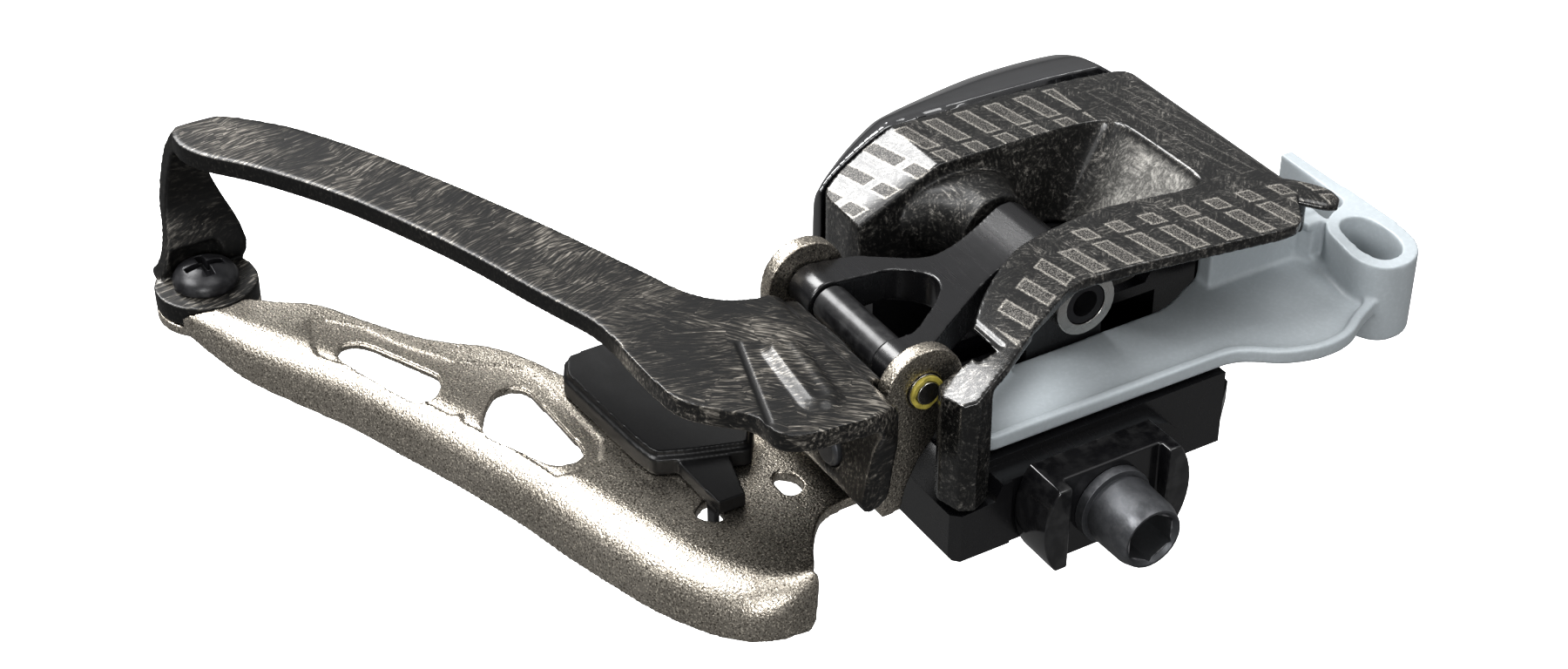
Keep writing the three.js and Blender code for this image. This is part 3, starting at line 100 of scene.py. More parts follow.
class Shader:
    """A node material under construction."""

    def __init__(self, name):
        material = bpy.data.materials.new(name)
        material.use_nodes = True
        self.tree = material.node_tree
        self.tree.nodes.clear()
        self.surface = self.node("BsdfPrincipled")
        self.node("OutputMaterial", {0: self.surface}, output=None)
        self.place = self.node("TexCoord", output="Object")
        MATERIALS[name] = material

    def put(self, socket, value):
        """Links a wire, or sets a value; a single number fills a colour or vector."""
        if isinstance(value, Wire):
            self.tree.links.new(value.socket, socket)
            return
        if hasattr(socket.default_value, "__len__"):
            if not isinstance(value, tuple):
                value = (value,) * 3
            value = (*value, 1.0)[: len(socket.default_value)]
        socket.default_value = value

    def node(self, kind, inputs=None, output=0, **settings):
        """Adds a node with its settings and inputs, and returns one of its outputs."""
        node = self.tree.nodes.new("ShaderNode" + kind)
        for key, value in settings.items():
            setattr(node, key, value)
        for key, value in (inputs or {}).items():
            self.put(node.inputs[key], value)
        return None if output is None else Wire(self, node.outputs[output])

    def set(self, **inputs):
        """Sets inputs of the surface, with underscores for the spaces in their names."""
        for key, value in inputs.items():
            self.put(self.surface.socket.node.inputs[key.replace("_", " ")], value)

    def math(self, operation, *values):
        return self.node("Math", dict(enumerate(values)), operation=operation)

    def highest(self, first, second):
        return self.math("MAXIMUM", first, second)

    def lowest(self, first, *others):
        for other in others:
            first = self.math("MINIMUM", first, other)
        return first

    def vector_math(self, operation, first, second):
        return self.node("VectorMath", {0: first, 1: second}, operation=operation)

    def stretch(self, vector, scale, turn=(0, 0, 0), shift=(0, 0, 0)):
        inputs = {"Vector": vector, "Scale": scale, "Rotation": turn, "Location": shift}
        return self.node("Mapping", inputs)

    def noise(self, scale, detail=3.0, rough=0.55, vector=None, output="Fac"):
        vector = vector or self.place
        inputs = {"Vector": vector, "Scale": scale, "Detail": detail, "Roughness": rough}
        return self.node("TexNoise", inputs, output)

    def voronoi(self, scale, output="Distance", vector=None):
        return self.node("TexVoronoi", {"Vector": vector or self.place, "Scale": scale}, output)

    def ramp(self, amount, stops):
        """A colour ramp; each stop is a position and a colour."""
        wire = self.node("ValToRGB", {0: amount})
        elements = wire.socket.node.color_ramp.elements
        while len(elements) < len(stops):
            elements.new(0.5)
        for element, (position, colour) in zip(elements, stops):
            element.position = position
            element.color = (*colour, 1.0)
        return wire

    def mix(self, amount, first, second):
        return self.node("Mix", {0: amount, 6: first, 7: second}, 2, data_type="RGBA")

    def bump(self, height, strength, depth):
        """Depth is in mm."""
        inputs = {"Strength": strength, "Distance": depth * MM, "Height": height}
        return self.node("Bump", inputs)

    def split(self, value, kind="SeparateXYZ"):
        outputs = self.node(kind, {0: value}).socket.node.outputs
        return [Wire(self, output) for output in outputs]

    def axes(self):
        """Object x, y and z, with y measured from the bolt axis."""
        x, y, z = self.split(self.place)
        return x, y - BOLT_Y * MM, z

    def upward(self):
        """How far the surface faces +Z."""
        return self.split(self.node("NewGeometry", output="Normal"))[2]

    def streaks(self, degrees, along, across, detail, seed=0.0):
        """Noise drawn out in one direction in the XY plane."""
        inputs = {"Vector": self.place, "Angle": math.radians(-degrees)}
        turned = self.node("VectorRotate", inputs, rotation_type="Z_AXIS")
        scale = (along, across, across * 0.5)
        drawn = self.stretch(turned, scale, shift=(seed, seed, 0))
        return self.noise(scale=1.0, detail=detail, rough=0.6, vector=drawn)

    def chips(self, angles, cell, along, across, detail):
        """Chopped fibre: each cell takes one of the fibre directions, and a tone."""
        jitter = self.noise(scale=900.0, detail=2.0, output="Color")
        jitter = self.vector_math("MULTIPLY", jitter, (0.0012, 0.0012, 0.0012))
        ragged = self.vector_math("ADD", self.place, jitter)
        pick, tone, _ = self.split(self.voronoi(cell, "Color", ragged), "SeparateColor")
        fibres = self.streaks(angles[0], along, across, detail)
        for i, angle in enumerate(angles[1:], 1):
            chosen = self.math("GREATER_THAN", pick, i / len(angles))
            other = self.streaks(angle, along, across, detail, seed=3.7 * i)
            fibres = self.mix(chosen, fibres, other)
        return fibres, tone


# -------------------------------------------------------------------- materials
# Colour ramps run from the dark resin to the lit fibre.
ARM_FIBRE = [
    (0.42, (0.003, 0.003, 0.003)), (0.505, (0.013, 0.012, 0.0105)),
    (0.58, (0.084, 0.077, 0.067)), (0.67, (0.31, 0.29, 0.258)),
]
SHELL_FIBRE = [
    (0.43, (0.004, 0.004, 0.004)), (0.51, (0.016, 0.0155, 0.0145)),
    (0.59, (0.064, 0.061, 0.056)), (0.70, (0.24, 0.228, 0.21)),
]


def arm_carbon():
    shader = Shader("arm_carbon")
    x, y, z = shader.axes()
    # the fibres lie across the arm and swing forward at the nose
    chop = dict(cell=260.0, along=330.0, across=3100.0, detail=4.0)
    tail, _ = shader.chips((86, 98, 108, 120), **chop)
    nose, _ = shader.chips((34, 48, 62, 76), **chop)
    ragged = x + shader.noise(scale=150.0, detail=2.0).swing(reach=0.015)
    at_nose = ragged.remap(low=-0.044, high=-0.026)
    hair = dict(along=520.0, across=6500.0, detail=2.0)
    fine = shader.mix(at_nose, shader.streaks(100, **hair), shader.streaks(50, **hair))
    # 72 parts of chips to 28 of fine hair, with slow patches over them
    fibre = shader.mix(at_nose, tail, nose) * 0.72 + fine * 0.28
    fibre = fibre + shader.noise(scale=90.0, detail=4.0).swing(reach=0.22)
    colour = shader.ramp(fibre, ARM_FIBRE)

    # painted shade: a dark line painted along the crease, and the cut side faces turned away
    # from +Z painted darker than the moulded top
    start_x, start_y = CREASE[0]
    away = (x + -start_x * MM) * CREASE_NORMAL[0] + (y + -start_y * MM) * CREASE_NORMAL[1]
    in_run = x.remap(low=-0.0222, high=-0.0212) * x.remap(low=-0.0062, high=-0.0048, to=FALL)
    near_line = abs(away).remap(low=0.00028, high=0.00060, to=FALL)
    crease = near_line * in_run * z.remap(low=0.0185, high=0.0192)
    side = shader.upward().remap(low=0.45, high=0.94, to=(0.85, 0.0))
    side = side * x.remap(low=-0.030, high=-0.026, to=FALL)
    painted_shade = shader.highest(crease, side)

    lustre = fibre.remap(low=0.4, high=0.65, to=(0.46, 0.30))
    relief = fibre + shader.noise(scale=2600.0, detail=2.0) * 0.15
    # the painted shade takes the colour to near black, and also raises roughness and thins the
    # coat
    shader.set(
        Base_Color=shader.mix(painted_shade, colour, (0.004, 0.004, 0.004)),
        Metallic=0.35,
        Roughness=shader.mix(painted_shade, lustre, 0.6),
        Normal=shader.bump(relief, strength=0.42, depth=0.07),
        Coat_Weight=painted_shade.line(slope=-0.38, offset=0.40),
        Coat_Roughness=0.18,
    )


# The shell's engraved bars, in metres apart from the angle and the phase.
BAR_ANGLE = 0.17  # radians off the X axis
BAR_PITCH = 0.0044
BAR_HALF = 0.00095  # half of a bar's width
BAR_PHASE = 10.35  # in pitches


def engraving(shader, x, y):
    """The rear band, the front strip and the two long bars; each is positive inside."""
    rag = shader.noise(scale=3200.0, detail=2.0).swing(reach=0.00025)
    rise = y * math.cos(BAR_ANGLE) - x * math.sin(BAR_ANGLE) + rag
    wave = shader.math("FRACT", rise / BAR_PITCH + BAR_PHASE)
    bar = BAR_HALF - abs(wave - 0.5) * BAR_PITCH

    def span(value, low, high):
        """Positive between low and high, in mm."""
        return (high - low) / 2 * MM - abs((value + rag) - (low + high) / 2 * MM)

    # distances in from the rear edge and from the two-sided front edge
    rear = x - y.line(slope=0.085, offset=-0.0526)
    upper_edge = y.line(slope=0.145, offset=-0.01048)
    lower_edge = y.line(slope=-0.52, offset=-0.00782)
    front = shader.highest(upper_edge, lower_edge) - x
    band_end = 0.0285 - y
    band = shader.highest(
        shader.lowest(bar, span(rear, 1.2, 7.4), band_end),
        shader.lowest(bar, span(rear, 8.5, 11.6), band_end),
    )
    strip = shader.highest(
        shader.lowest(bar, span(front, 0.8, 6.4), y + 0.0085),
        shader.lowest(bar, span(front, 7.5, 9.9), y - 0.008),
    )
    long_bars = shader.highest(
        shader.lowest(span(rise, 39.2, 41.4), span(x, -46.0, -19.0)),
        shader.lowest(span(rise, 43.6, 45.4), span(x, -44.0, -16.0)),
    )
    return band, strip, long_bars


def shell_carbon():
    shader = Shader("shell_carbon")
    x, y, z = shader.axes()
    up = shader.upward().remap(low=0.72, high=0.86)
    flake, pick = shader.chips(
        (5, 50, 95, 140), cell=520.0, along=600.0, across=3000.0, detail=3.0
    )
    # 65 parts of flake to 35 of speckle, then a tone per chip and slow patches
    fibre = flake * 0.65 + shader.noise(scale=3300.0, detail=2.0, rough=0.7) * 0.35
    fibre = fibre + pick.swing(reach=0.04)
    fibre = fibre + shader.noise(scale=110.0, detail=3.0).swing(reach=0.12)
    base = shader.ramp(fibre, SHELL_FIBRE)

    # bars are filled with specks and outlined; the long bars only have a faint outline
    band, strip, long_bars = engraving(shader, x, y)
    faint = abs(long_bars).remap(low=0.00006, high=0.00018, to=(0.35, 0.0))
    fill = shader.highest(
        strip.remap(low=0.0, high=0.0001, to=(0.0, 0.95)),
        band.remap(low=0.0, high=0.0001, to=(0.0, 0.75)),
    )
    inside = fill * up
    outline = abs(shader.highest(band, strip)).remap(low=0.00008, high=0.00022, to=FALL)
    outline = shader.highest(outline, faint) * up
    speck = shader.noise(scale=5600.0, detail=1.0).remap(low=0.44, high=0.62)
    mark = shader.mix(speck, (0.020, 0.019, 0.018), (0.21, 0.20, 0.185))
    colour = shader.mix(inside, base, mark)
    outline_amount = outline * speck.line(slope=0.6, offset=0.4) * 0.9
    colour = shader.mix(outline_amount, colour, (0.42, 0.40, 0.365))
    lustre = fibre.remap(low=0.4, high=0.65, to=(0.30, 0.20))
    rough = shader.mix(inside, lustre, 0.62)

    # the moulded scoop is duller than the roof, and its wall towards one corner gets a painted
    # highlight, a paler colour along the fibres
    deep = x.remap(low=-0.043, high=-0.041) * x.remap(low=-0.019, high=-0.017, to=FALL)
    deep = deep * y.remap(low=0.0315, high=0.033, to=FALL)
    deep = deep * z.remap(low=0.0205, high=0.0215, to=FALL)
    # painted highlight: pale colour on the scoop wall towards the +Y, -X corner
    pale = deep * y.remap(low=0.014, high=0.026) * x.remap(low=-0.037, high=-0.030)
    pale = pale * fibre.remap(low=0.40, high=0.62, to=(0.25, 0.75))

    # relief is half fibre, then specks and a slow ripple
    relief = fibre * 0.5 + inside * speck * 0.8
    relief = relief + shader.noise(scale=700.0, detail=3.0) * 0.35
    # the base colour takes the painted highlight on the scoop wall
    shader.set(
        Base_Color=shader.mix(pale, colour, (0.42, 0.41, 0.385)),
        Metallic=0.35,
        Roughness=shader.mix(deep, rough, 0.46),
        Normal=shader.bump(relief, strength=0.55, depth=0.07),
        Coat_Weight=inside.line(slope=-0.6, offset=0.65) * deep.line(slope=-0.85, offset=1.0),
        Coat_Roughness=0.14,
    )


def plate_nickel():
    """Gritty nickel with pale and dark specks."""
    shader = Shader("plate_nickel")
    grit = shader.noise(scale=3300.0, detail=2.0, rough=0.6)
    patches = shader.noise(scale=60.0, detail=3.0).remap(low=0.35, high=0.65)
    colour = shader.mix(patches, (0.40, 0.37, 0.325), (0.48, 0.445, 0.395))
    pale = shader.noise(scale=3900.0, detail=1.0).remap(low=0.55, high=0.68, to=(0.0, 0.9))
    colour = shader.mix(pale, colour, (0.92, 0.86, 0.75))
    shifted = shader.vector_math("ADD", shader.place, (0.31, 0.17, 0.05))
    dark = shader.noise(scale=4400.0, detail=1.0, vector=shifted)
    dark = dark.remap(low=0.54, high=0.66, to=(0.0, 0.8))
    relief = grit + shader.voronoi(scale=3600.0) * 0.6
    shader.set(
        Base_Color=shader.mix(dark, colour, (0.09, 0.078, 0.062)),
        Metallic=1.0,
        Roughness=grit.remap(low=0.3, high=0.7, to=(0.27, 0.47)),
        Normal=shader.bump(relief, strength=0.75, depth=0.06),
    )


def tint(colour, times, plus=0.0):
    return tuple(min(1.0, channel * times + plus) for channel in colour)


def plain(
    name, colour, rough, grain, bump, metal=0.0, tone=0.25, coat=0.0, wear=None,
    specular=0.5, patch=120.0,
):
    """A finish with fine grain, slow changes of tone in patches, scuffs and worn edges.

    grain and patch are noise scales, tone is how far the colour strays either way, and
    wear is the colour of worn edges.
    """
    shader = Shader(name)
    fine = shader.noise(scale=grain, detail=3.0, rough=0.6)
    patches = shader.noise(scale=patch, detail=4.0, rough=0.6)
    dark, light = tint(colour, times=1 - tone), tint(colour, times=1 + tone)
    shade = shader.mix(patches.remap(low=0.3, high=0.7), dark, light)
    grain_amount = fine.remap(low=0.45, high=0.75, to=(0.0, 0.35))
    shade = shader.mix(grain_amount, shade, tint(colour, times=1.2 + tone, plus=0.004))
    if wear is not None:
        convex = shader.node("NewGeometry", output="Pointiness").remap(low=0.53, high=0.62)
        broken = shader.noise(scale=700.0, detail=4.0).remap(low=0.42, high=0.62)
        shade = shader.mix(convex * broken, shade, wear)
    drawn = shader.stretch(shader.place, scale=(160.0, 1900.0, 400.0), turn=(0.2, 0.1, 0.6))
    scuff = shader.noise(scale=1.0, detail=4.0, rough=0.6, vector=drawn)
    even = patches.remap(low=0.3, high=0.7, to=(rough * 0.85, rough * 1.15))
    shader.set(
        Base_Color=shade,
        Metallic=metal,
        Roughness=even + scuff.remap(low=0.55, high=0.75, to=(0.0, 0.10)),
        Normal=shader.bump(fine + scuff * 0.25, strength=bump, depth=0.04),
        Coat_Weight=coat,
        Coat_Roughness=0.08,
        Specular_IOR_Level=specular,
    )


def turned(name, colour, rough):
    """Bare turned metal: fine rings round the X axis."""
    shader = Shader(name)
    drawn = shader.stretch(shader.place, scale=(5200.0, 300.0, 300.0))
    rings = shader.noise(scale=1.0, detail=2.0, rough=0.5, vector=drawn)
    patches = shader.noise(scale=260.0, detail=3.0).remap(low=0.3, high=0.7)
    shader.set(
        Base_Color=shader.mix(patches, tint(colour, times=1 - 0.2), colour),
        Metallic=1.0,
        Roughness=rings.remap(low=0.3, high=0.7, to=(rough * 0.8, rough * 1.2)),
        Normal=shader.bump(rings, strength=0.18, depth=0.03),
    )


plain(
    "mount_alloy", (0.0065, 0.0065, 0.0075), rough=0.24, grain=1700.0, bump=0.05, tone=0.08,
    specular=0.8, patch=60.0,
)
plain(
    "washer_gloss", (0.006, 0.006, 0.007), rough=0.16, grain=1200.0, bump=0.06, coat=0.4,
    wear=(0.06, 0.06, 0.06), specular=0.6,
)
plain(
    "black_steel", (0.085, 0.088, 0.094), rough=0.40, grain=2600.0, bump=0.45, metal=0.6,
    tone=0.30, wear=(0.30, 0.30, 0.31), specular=0.6,
)
plain(
    "screw_gloss", (0.012, 0.012, 0.014), rough=0.36, grain=1900.0, bump=0.20, metal=0.2,
    tone=0.2, wear=(0.10, 0.10, 0.105), specular=0.7,
)
# near-black finish for the output shaft: painted shade over its end, which sits in shadow
plain(
    "shaft_painted_shade", (0.020, 0.020, 0.022), rough=0.42, grain=1900.0, bump=0.2, metal=0.3, tone=0.2
)
shell_carbon()
plain("housing_plastic", (0.009, 0.009, 0.010), rough=0.34, grain=1900.0, bump=0.18, tone=0.3)
plain(
    "cover_gloss", (0.012, 0.0125, 0.0145), rough=0.14, grain=500.0, bump=0.02, tone=0.20,
    coat=1.0, specular=1.0,
)
plain("board", (0.02, 0.10, 0.045), rough=0.45, grain=900.0, bump=0.2, tone=0.3)
turned("bright_steel", (0.58, 0.57, 0.55), rough=0.26)
turned("bronze", (0.60, 0.44, 0.22), rough=0.32)
plain(
    "link_alloy", (0.0070, 0.0070, 0.0080), rough=0.25, grain=2400.0, bump=0.16, tone=0.15,
    wear=(0.10, 0.10, 0.10), specular=0.8,
)
plain(
    "tube_black", (0.010, 0.010, 0.011), rough=0.30, grain=1500.0, bump=0.12, tone=0.3,
    wear=(0.07, 0.07, 0.07), specular=0.6,
)
plate_nickel()
arm_carbon()
plain("pad_plastic", (0.0075, 0.0075, 0.0080), rough=0.36, grain=2600.0, bump=0.25, tone=0.3)
plain(
    "thread_lock", (0.36, 0.31, 0.07), rough=0.45, grain=2600.0, bump=0.3, tone=0.3, coat=0.3
)
plain(
    "cover_grey", (0.385, 0.415, 0.433), rough=0.42, grain=1800.0, bump=0.10, tone=0.045,
    specular=0.45, patch=45.0,
)

# objects whose material differs from their slot's; the output shaft's near-black material is
# painted shade, since its end sits in shadow
OWN_MATERIAL = {"tail_screw": "screw_gloss", "output_shaft": "shaft_painted_shade"}


def dress(obj, slot):
    obj.data.materials.clear()
    obj.data.materials.append(MATERIALS[OWN_MATERIAL.get(obj.name, slot)])


# ------------------------------------------------- CAD nodes that stay in the look
EDGE_RADIUS = {  # in mm, by node
    "mount_body": 0.35, "mount_washer": 0.3, "mount_bolt": 0.25, "outer_link": 0.45,
    "anti_chafe_pad": 0.5, "battery_bay_cover": 0.45, "outer_cage_plate": 0.25,
    "inner_cage_plate": 0.18, "carbon_shell": 0.3, "motor_housing": 0.3, "rear_cover": 0.4,
    "contact_block": 0.3,
}
OTHER_EDGE_RADIUS = 0.12


def modify(obj, name, kind, **settings):
    modifier = obj.modifiers.new(name, kind)
    for key, value in settings.items():
        setattr(modifier, key, value)


def smooth_faces(mesh):
    mesh.polygons.foreach_set("use_smooth", [True] * len(mesh.polygons))


for node_name, obj in NODES.items():
    dress(obj, SLOT_OF[node_name])
    smooth_faces(obj.data)
    for attribute in ("custom_normal", "sharp_edge"):
        if attribute in obj.data.attributes:
            obj.data.attributes.remove(obj.data.attributes[attribute])
    modify(obj, "weld", "WELD", merge_threshold=2e-6)
    modify(
        obj, "planar", "DECIMATE", decimate_type="DISSOLVE", angle_limit=math.radians(0.6)
    )
    modify(
        obj, "edges", "BEVEL",
        width=EDGE_RADIUS.get(node_name, OTHER_EDGE_RADIUS) * MM,
        segments=2,
        limit_method="ANGLE",
        angle_limit=math.radians(32),
        use_clamp_overlap=True,
        miter_outer="MITER_ARC",
    )
    modify(obj, "shading", "WEIGHTED_NORMAL", keep_sharp=False, weight=80)


# ---------------------------------------------------------------- solids, in mm
work = bpy.data.collections.new("work")
bpy.context.scene.collection.children.link(work)


def solid(vertices, faces):
    mesh = bpy.data.meshes.new("solid")
    mesh.from_pydata([tuple(map(float, vertex)) for vertex in vertices], [], faces)
    editable = bmesh.new()
    editable.from_mesh(mesh)
    bmesh.ops.recalc_face_normals(editable, faces=editable.faces)
    editable.to_mesh(mesh)
    editable.free()
    obj = bpy.data.objects.new("solid", mesh)
    work.objects.link(obj)
    return obj


def prism(points, low, high, axis="z"):
    """An outline pushed along an axis; its points are the other two coordinates in order."""
    count = len(points)
    spot = {
        "z": lambda point, height: (point[0], point[1], height),
        "x": lambda point, height: (height, point[0], point[1]),
        "y": lambda point, height: (point[0], height, point[1]),
    }[axis]
    vertices = [spot(point, height) for height in (low, high) for point in points]
    faces = [list(range(count)), list(range(count, 2 * count))[::-1]]
    for i in range(count):
        k = (i + 1) % count
        faces.append((i, k, count + k, count + i))
    return solid(vertices, faces)


def circle(u, v, radius, count=48):
    turns = [i * math.tau / count for i in range(count)]
    return [(u + radius * math.cos(turn), v + radius * math.sin(turn)) for turn in turns]


def arc(y, z, radius, start, end, count):
    """Points on part of a circle, with its angles in degrees."""
    turns = np.radians(np.linspace(start, end, count))
    return [(y + radius * math.cos(turn), z + radius * math.sin(turn)) for turn in turns]


def rod(axis, u, v, radius, low, high, count=48):
    return prism(circle(u, v, radius, count), low, high, axis)


def block(x0, x1, y0, y1, z0, z1):
    return prism([(x0, y0), (x1, y0), (x1, y1), (x0, y1)], z0, z1)


def loft(rows):
    count = len(rows[0])
    vertices = [point for row in rows for point in row]
    faces = []
    for i in range(len(rows) - 1):
        near, far = i * count, (i + 1) * count
        for j in range(count):
            k = (j + 1) % count
            faces.append((near + j, near + k, far + k, far + j))
    faces.append(list(range(count)))
    faces.append(list(range((len(rows) - 1) * count, len(rows) * count))[::-1])
    return solid(vertices, faces)


def soft(points, radius=99.0, steps=5, share=0.499):
    """Rounds each corner with a short curve.

    A third number in a point is its own radius. A curve takes at most this share of the
    edges beside it, so a large radius gives one flowing outline.
    """
    curve = []
    for i, corner in enumerate(points):
        before, after = points[i - 1], points[(i + 1) % len(points)]
        reach = corner[2] if len(corner) > 2 else radius
        if reach < 0.01:
            curve.append((corner[0], corner[1]))
            continue
        ends = []
        for other in (before, after):
            length = math.dist(other[:2], corner[:2])
            cut = min(reach, length * share)
            ends.append([corner[k] + (other[k] - corner[k]) * cut / length for k in (0, 1)])
        start, end = ends
        for step in range(steps + 1):
            t = step / steps
            curve.append(tuple(
                (1 - t) ** 2 * start[k] + 2 * t * (1 - t) * corner[k] + t * t * end[k]
                for k in (0, 1)
            ))
    kept = [curve[0]]
    for point in curve[1:]:
        if math.dist(point, kept[-1]) > 1e-3:
            kept.append(point)
    if math.dist(kept[0], kept[-1]) < 1e-3:
        kept.pop()
    return kept


def dense(rows, steps=4):
    """A smooth curve through the rows, as Catmull-Rom."""
    p = np.array(rows, float)
    q = np.vstack([2 * p[0] - p[1], p, 2 * p[-1] - p[-2]])
    curve = []
    for i in range(1, len(q) - 2):
        for j in range(steps):
            t = j / steps
            curve.append(
                0.5
                * (
                    2 * q[i]
                    + (q[i + 1] - q[i - 1]) * t
                    + (2 * q[i - 1] - 5 * q[i] + 4 * q[i + 1] - q[i + 2]) * t * t
                    + (3 * q[i] - q[i - 1] - 3 * q[i + 1] + q[i + 2]) * t**3
                )
            )
    curve.append(q[-2])
    return np.array(curve)


def inset(points, distance):
    """Moves an outline inwards."""
    path = [tuple(point[:2]) for point in points]
    if sum(a[0] * b[1] - b[0] * a[1] for a, b in zip(path, path[1:] + path[:1])) < 0:
        path = path[::-1]
    moved = []
    for i, (x, y) in enumerate(path):
        before, after = path[i - 1], path[(i + 1) % len(path)]
        back, ahead = (x - before[0], y - before[1]), (after[0] - x, after[1] - y)
        normals = []
        for edge in (back, ahead):
            length = math.hypot(*edge)
            normals.append((-edge[1] / length, edge[0] / length))
        (ux, uy), (vx, vy) = normals
        spread = max(0.35, 1 + ux * vx + uy * vy)
        moved.append((x + (ux + vx) * distance / spread, y + (uy + vy) * distance / spread))
    return moved


def bake(obj):
    """Applies an object's modifiers to its mesh."""
    bpy.context.view_layer.update()
    evaluated = obj.evaluated_get(bpy.context.evaluated_depsgraph_get())
    mesh = bpy.data.meshes.new_from_object(evaluated)
    obj.modifiers.clear()
    obj.data = mesh


def combine(base, *steps):
    """Joins (+), cuts (-) or keeps (*) solids, in order; a step is a sign and its solids."""
    operations = {"+": "UNION", "-": "DIFFERENCE", "*": "INTERSECT"}
    for sign, *solids in steps:
        for other in solids:
            modify(
                base, "boolean", "BOOLEAN",
                operation=operations[sign], solver="MANIFOLD", object=other,
            )
    bake(base)
    for _, *solids in steps:
        for other in solids:
            bpy.data.objects.remove(other)
    return base


def skin(piece, voxel, smooth):
    """An even mesh over the solid, with its edges eased."""
    modify(piece, "remesh", "REMESH", mode="VOXEL", voxel_size=voxel)
    modify(piece, "smooth", "SMOOTH", factor=0.5, iterations=smooth)
    bake(piece)


def points_of(obj):
    points = np.zeros(len(obj.data.vertices) * 3, np.float64)
    obj.data.vertices.foreach_get("co", points)
    return points.reshape(-1, 3)


def put_points(obj, points):
    obj.data.vertices.foreach_set("co", points.ravel())
    obj.data.update()


def to_segment(xy, start, end):
    """For each point, its share of the way along a segment and its distance from it."""
    start = np.array(start)
    way = np.array(end) - start
    share = ((xy - start) @ way) / max(way @ way, 1e-9)
    nearest = np.clip(share, 0, 1)[:, None] * way
    return share, np.linalg.norm(xy - start - nearest, axis=1)


def to_outline(xy, outline):
    """Distance from each point to a closed outline."""
    corners = np.array(outline, float)[:, :2]
    best = np.full(len(xy), 1e9)
    for i in range(len(corners)):
        _, away = to_segment(xy, corners[i], corners[(i + 1) % len(corners)])
        best = np.minimum(best, away)
    return best


def within(xy, outline):
    corners = np.array(outline, float)[:, :2]
    inside = np.zeros(len(xy), bool)
    for i in range(len(corners)):
        a, b = corners[i], corners[(i + 1) % len(corners)]
        if a[1] == b[1]:
            continue
        inside ^= ((a[1] > xy[:, 1]) != (b[1] > xy[:, 1])) & (
            xy[:, 0] < (b[0] - a[0]) * (xy[:, 1] - a[1]) / (b[1] - a[1]) + a[0]
        )
    return inside


def ease(t):
    t = np.clip(t, 0, 1)
    return t * t * (3 - 2 * t)


def place(piece, name, body, keep, node=None):
    """Thins a piece to a share of its faces and puts it in the row frame.

    It becomes the look of the node; a piece without one has the slot of its own name.
    """
    modify(piece, "thin", "DECIMATE", ratio=keep)
    bake(piece)
    put_points(piece, (points_of(piece) + np.array([0.0, BOLT_Y, 0.0])) * MM)
    mesh = piece.data
    smooth_faces(mesh)
    look = bpy.data.objects.new(name, mesh)
    mesh.name = name
    bpy.context.scene.collection.objects.link(look)
    bpy.data.objects.remove(piece)
    dress(look, SLOT_OF[node] if node else name)
    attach(look, body)
    if node:
        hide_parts(node)


# ------------------------------------------------------- places the pieces share
BODY_PIN_Y, BODY_PIN_Z = 7.9, 15.6  # the link's pin in the body, along X
CAGE_PIN_Y, CAGE_PIN_Z = -19.3, 16.2  # the cage's pivot pin, along X
TAIL_X, TAIL_Y = -94.4, -76.2  # the hole through both plates at the tail, along Z
NOSE_HOLES_X, NOSE_HOLES_Z = (-12.5, -22.0), 8.2  # the two holes through the nose, along Y
ROOF_Z = 22.0  # the shell's flat roof


def nose_rods(radius, low, high):
    return [rod("y", x, NOSE_HOLES_Z, radius, low, high) for x in NOSE_HOLES_X]


# -------------------------------------------------------------- inner cage plate
# Outer edge of the rolled flange, from tail to nose: x, y, lip z, roll radius.
FLANGE = [
    (-93.4, -82.5, -2.2, 0.9), (-91.0, -82.0, -2.6, 1.3), (-88.0, -81.0, -3.2, 2.2),
    (-84.2, -79.5, -4.4, 3.3), (-78.2, -77.2, -5.5, 4.6), (-70.6, -73.2, -6.1, 5.2),
    (-63.9, -69.7, -6.4, 5.6), (-56.4, -66.8, -6.5, 5.8), (-49.2, -64.1, -6.5, 5.9),
    (-41.8, -61.6, -6.5, 6.0), (-34.2, -59.3, -6.5, 6.0), (-26.3, -57.4, -6.5, 6.0),
    (-19.0, -55.3, -6.5, 6.0), (-12.2, -53.1, -6.5, 6.0), (-6.7, -50.4, -6.5, 6.0),
    (-3.9, -48.5, -6.5, 5.9), (-1.7, -46.3, -6.5, 5.4), (-0.3, -43.6, -6.5, 4.6),
    (0.2, -41.0, -6.5, 3.5), (-0.1, -38.3, -6.3, 2.2), (-0.9, -37.2, -1.0, 1.1),
]
# The web's outline from the nose back to the tail: x, y, own radius if given.
WEB_REST = [
    (-2.3, -37.0), (-5.5, -35.4), (-9.9, -31.9), (-10.6, -28.6), (-10.6, -24.0, 0.0),
    (-35.6, -24.0, 0.0), (-36.4, -33.0), (-40.0, -39.6), (-45.6, -42.8), (-50.6, -45.1),
    (-55.1, -46.7), (-58.8, -48.5), (-61.9, -50.9), (-64.5, -54.2), (-67.6, -57.2),
    (-71.8, -59.9), (-76.1, -62.4), (-80.8, -64.9), (-83.0, -67.0), (-84.6, -69.8),
    (-86.5, -71.5),
]
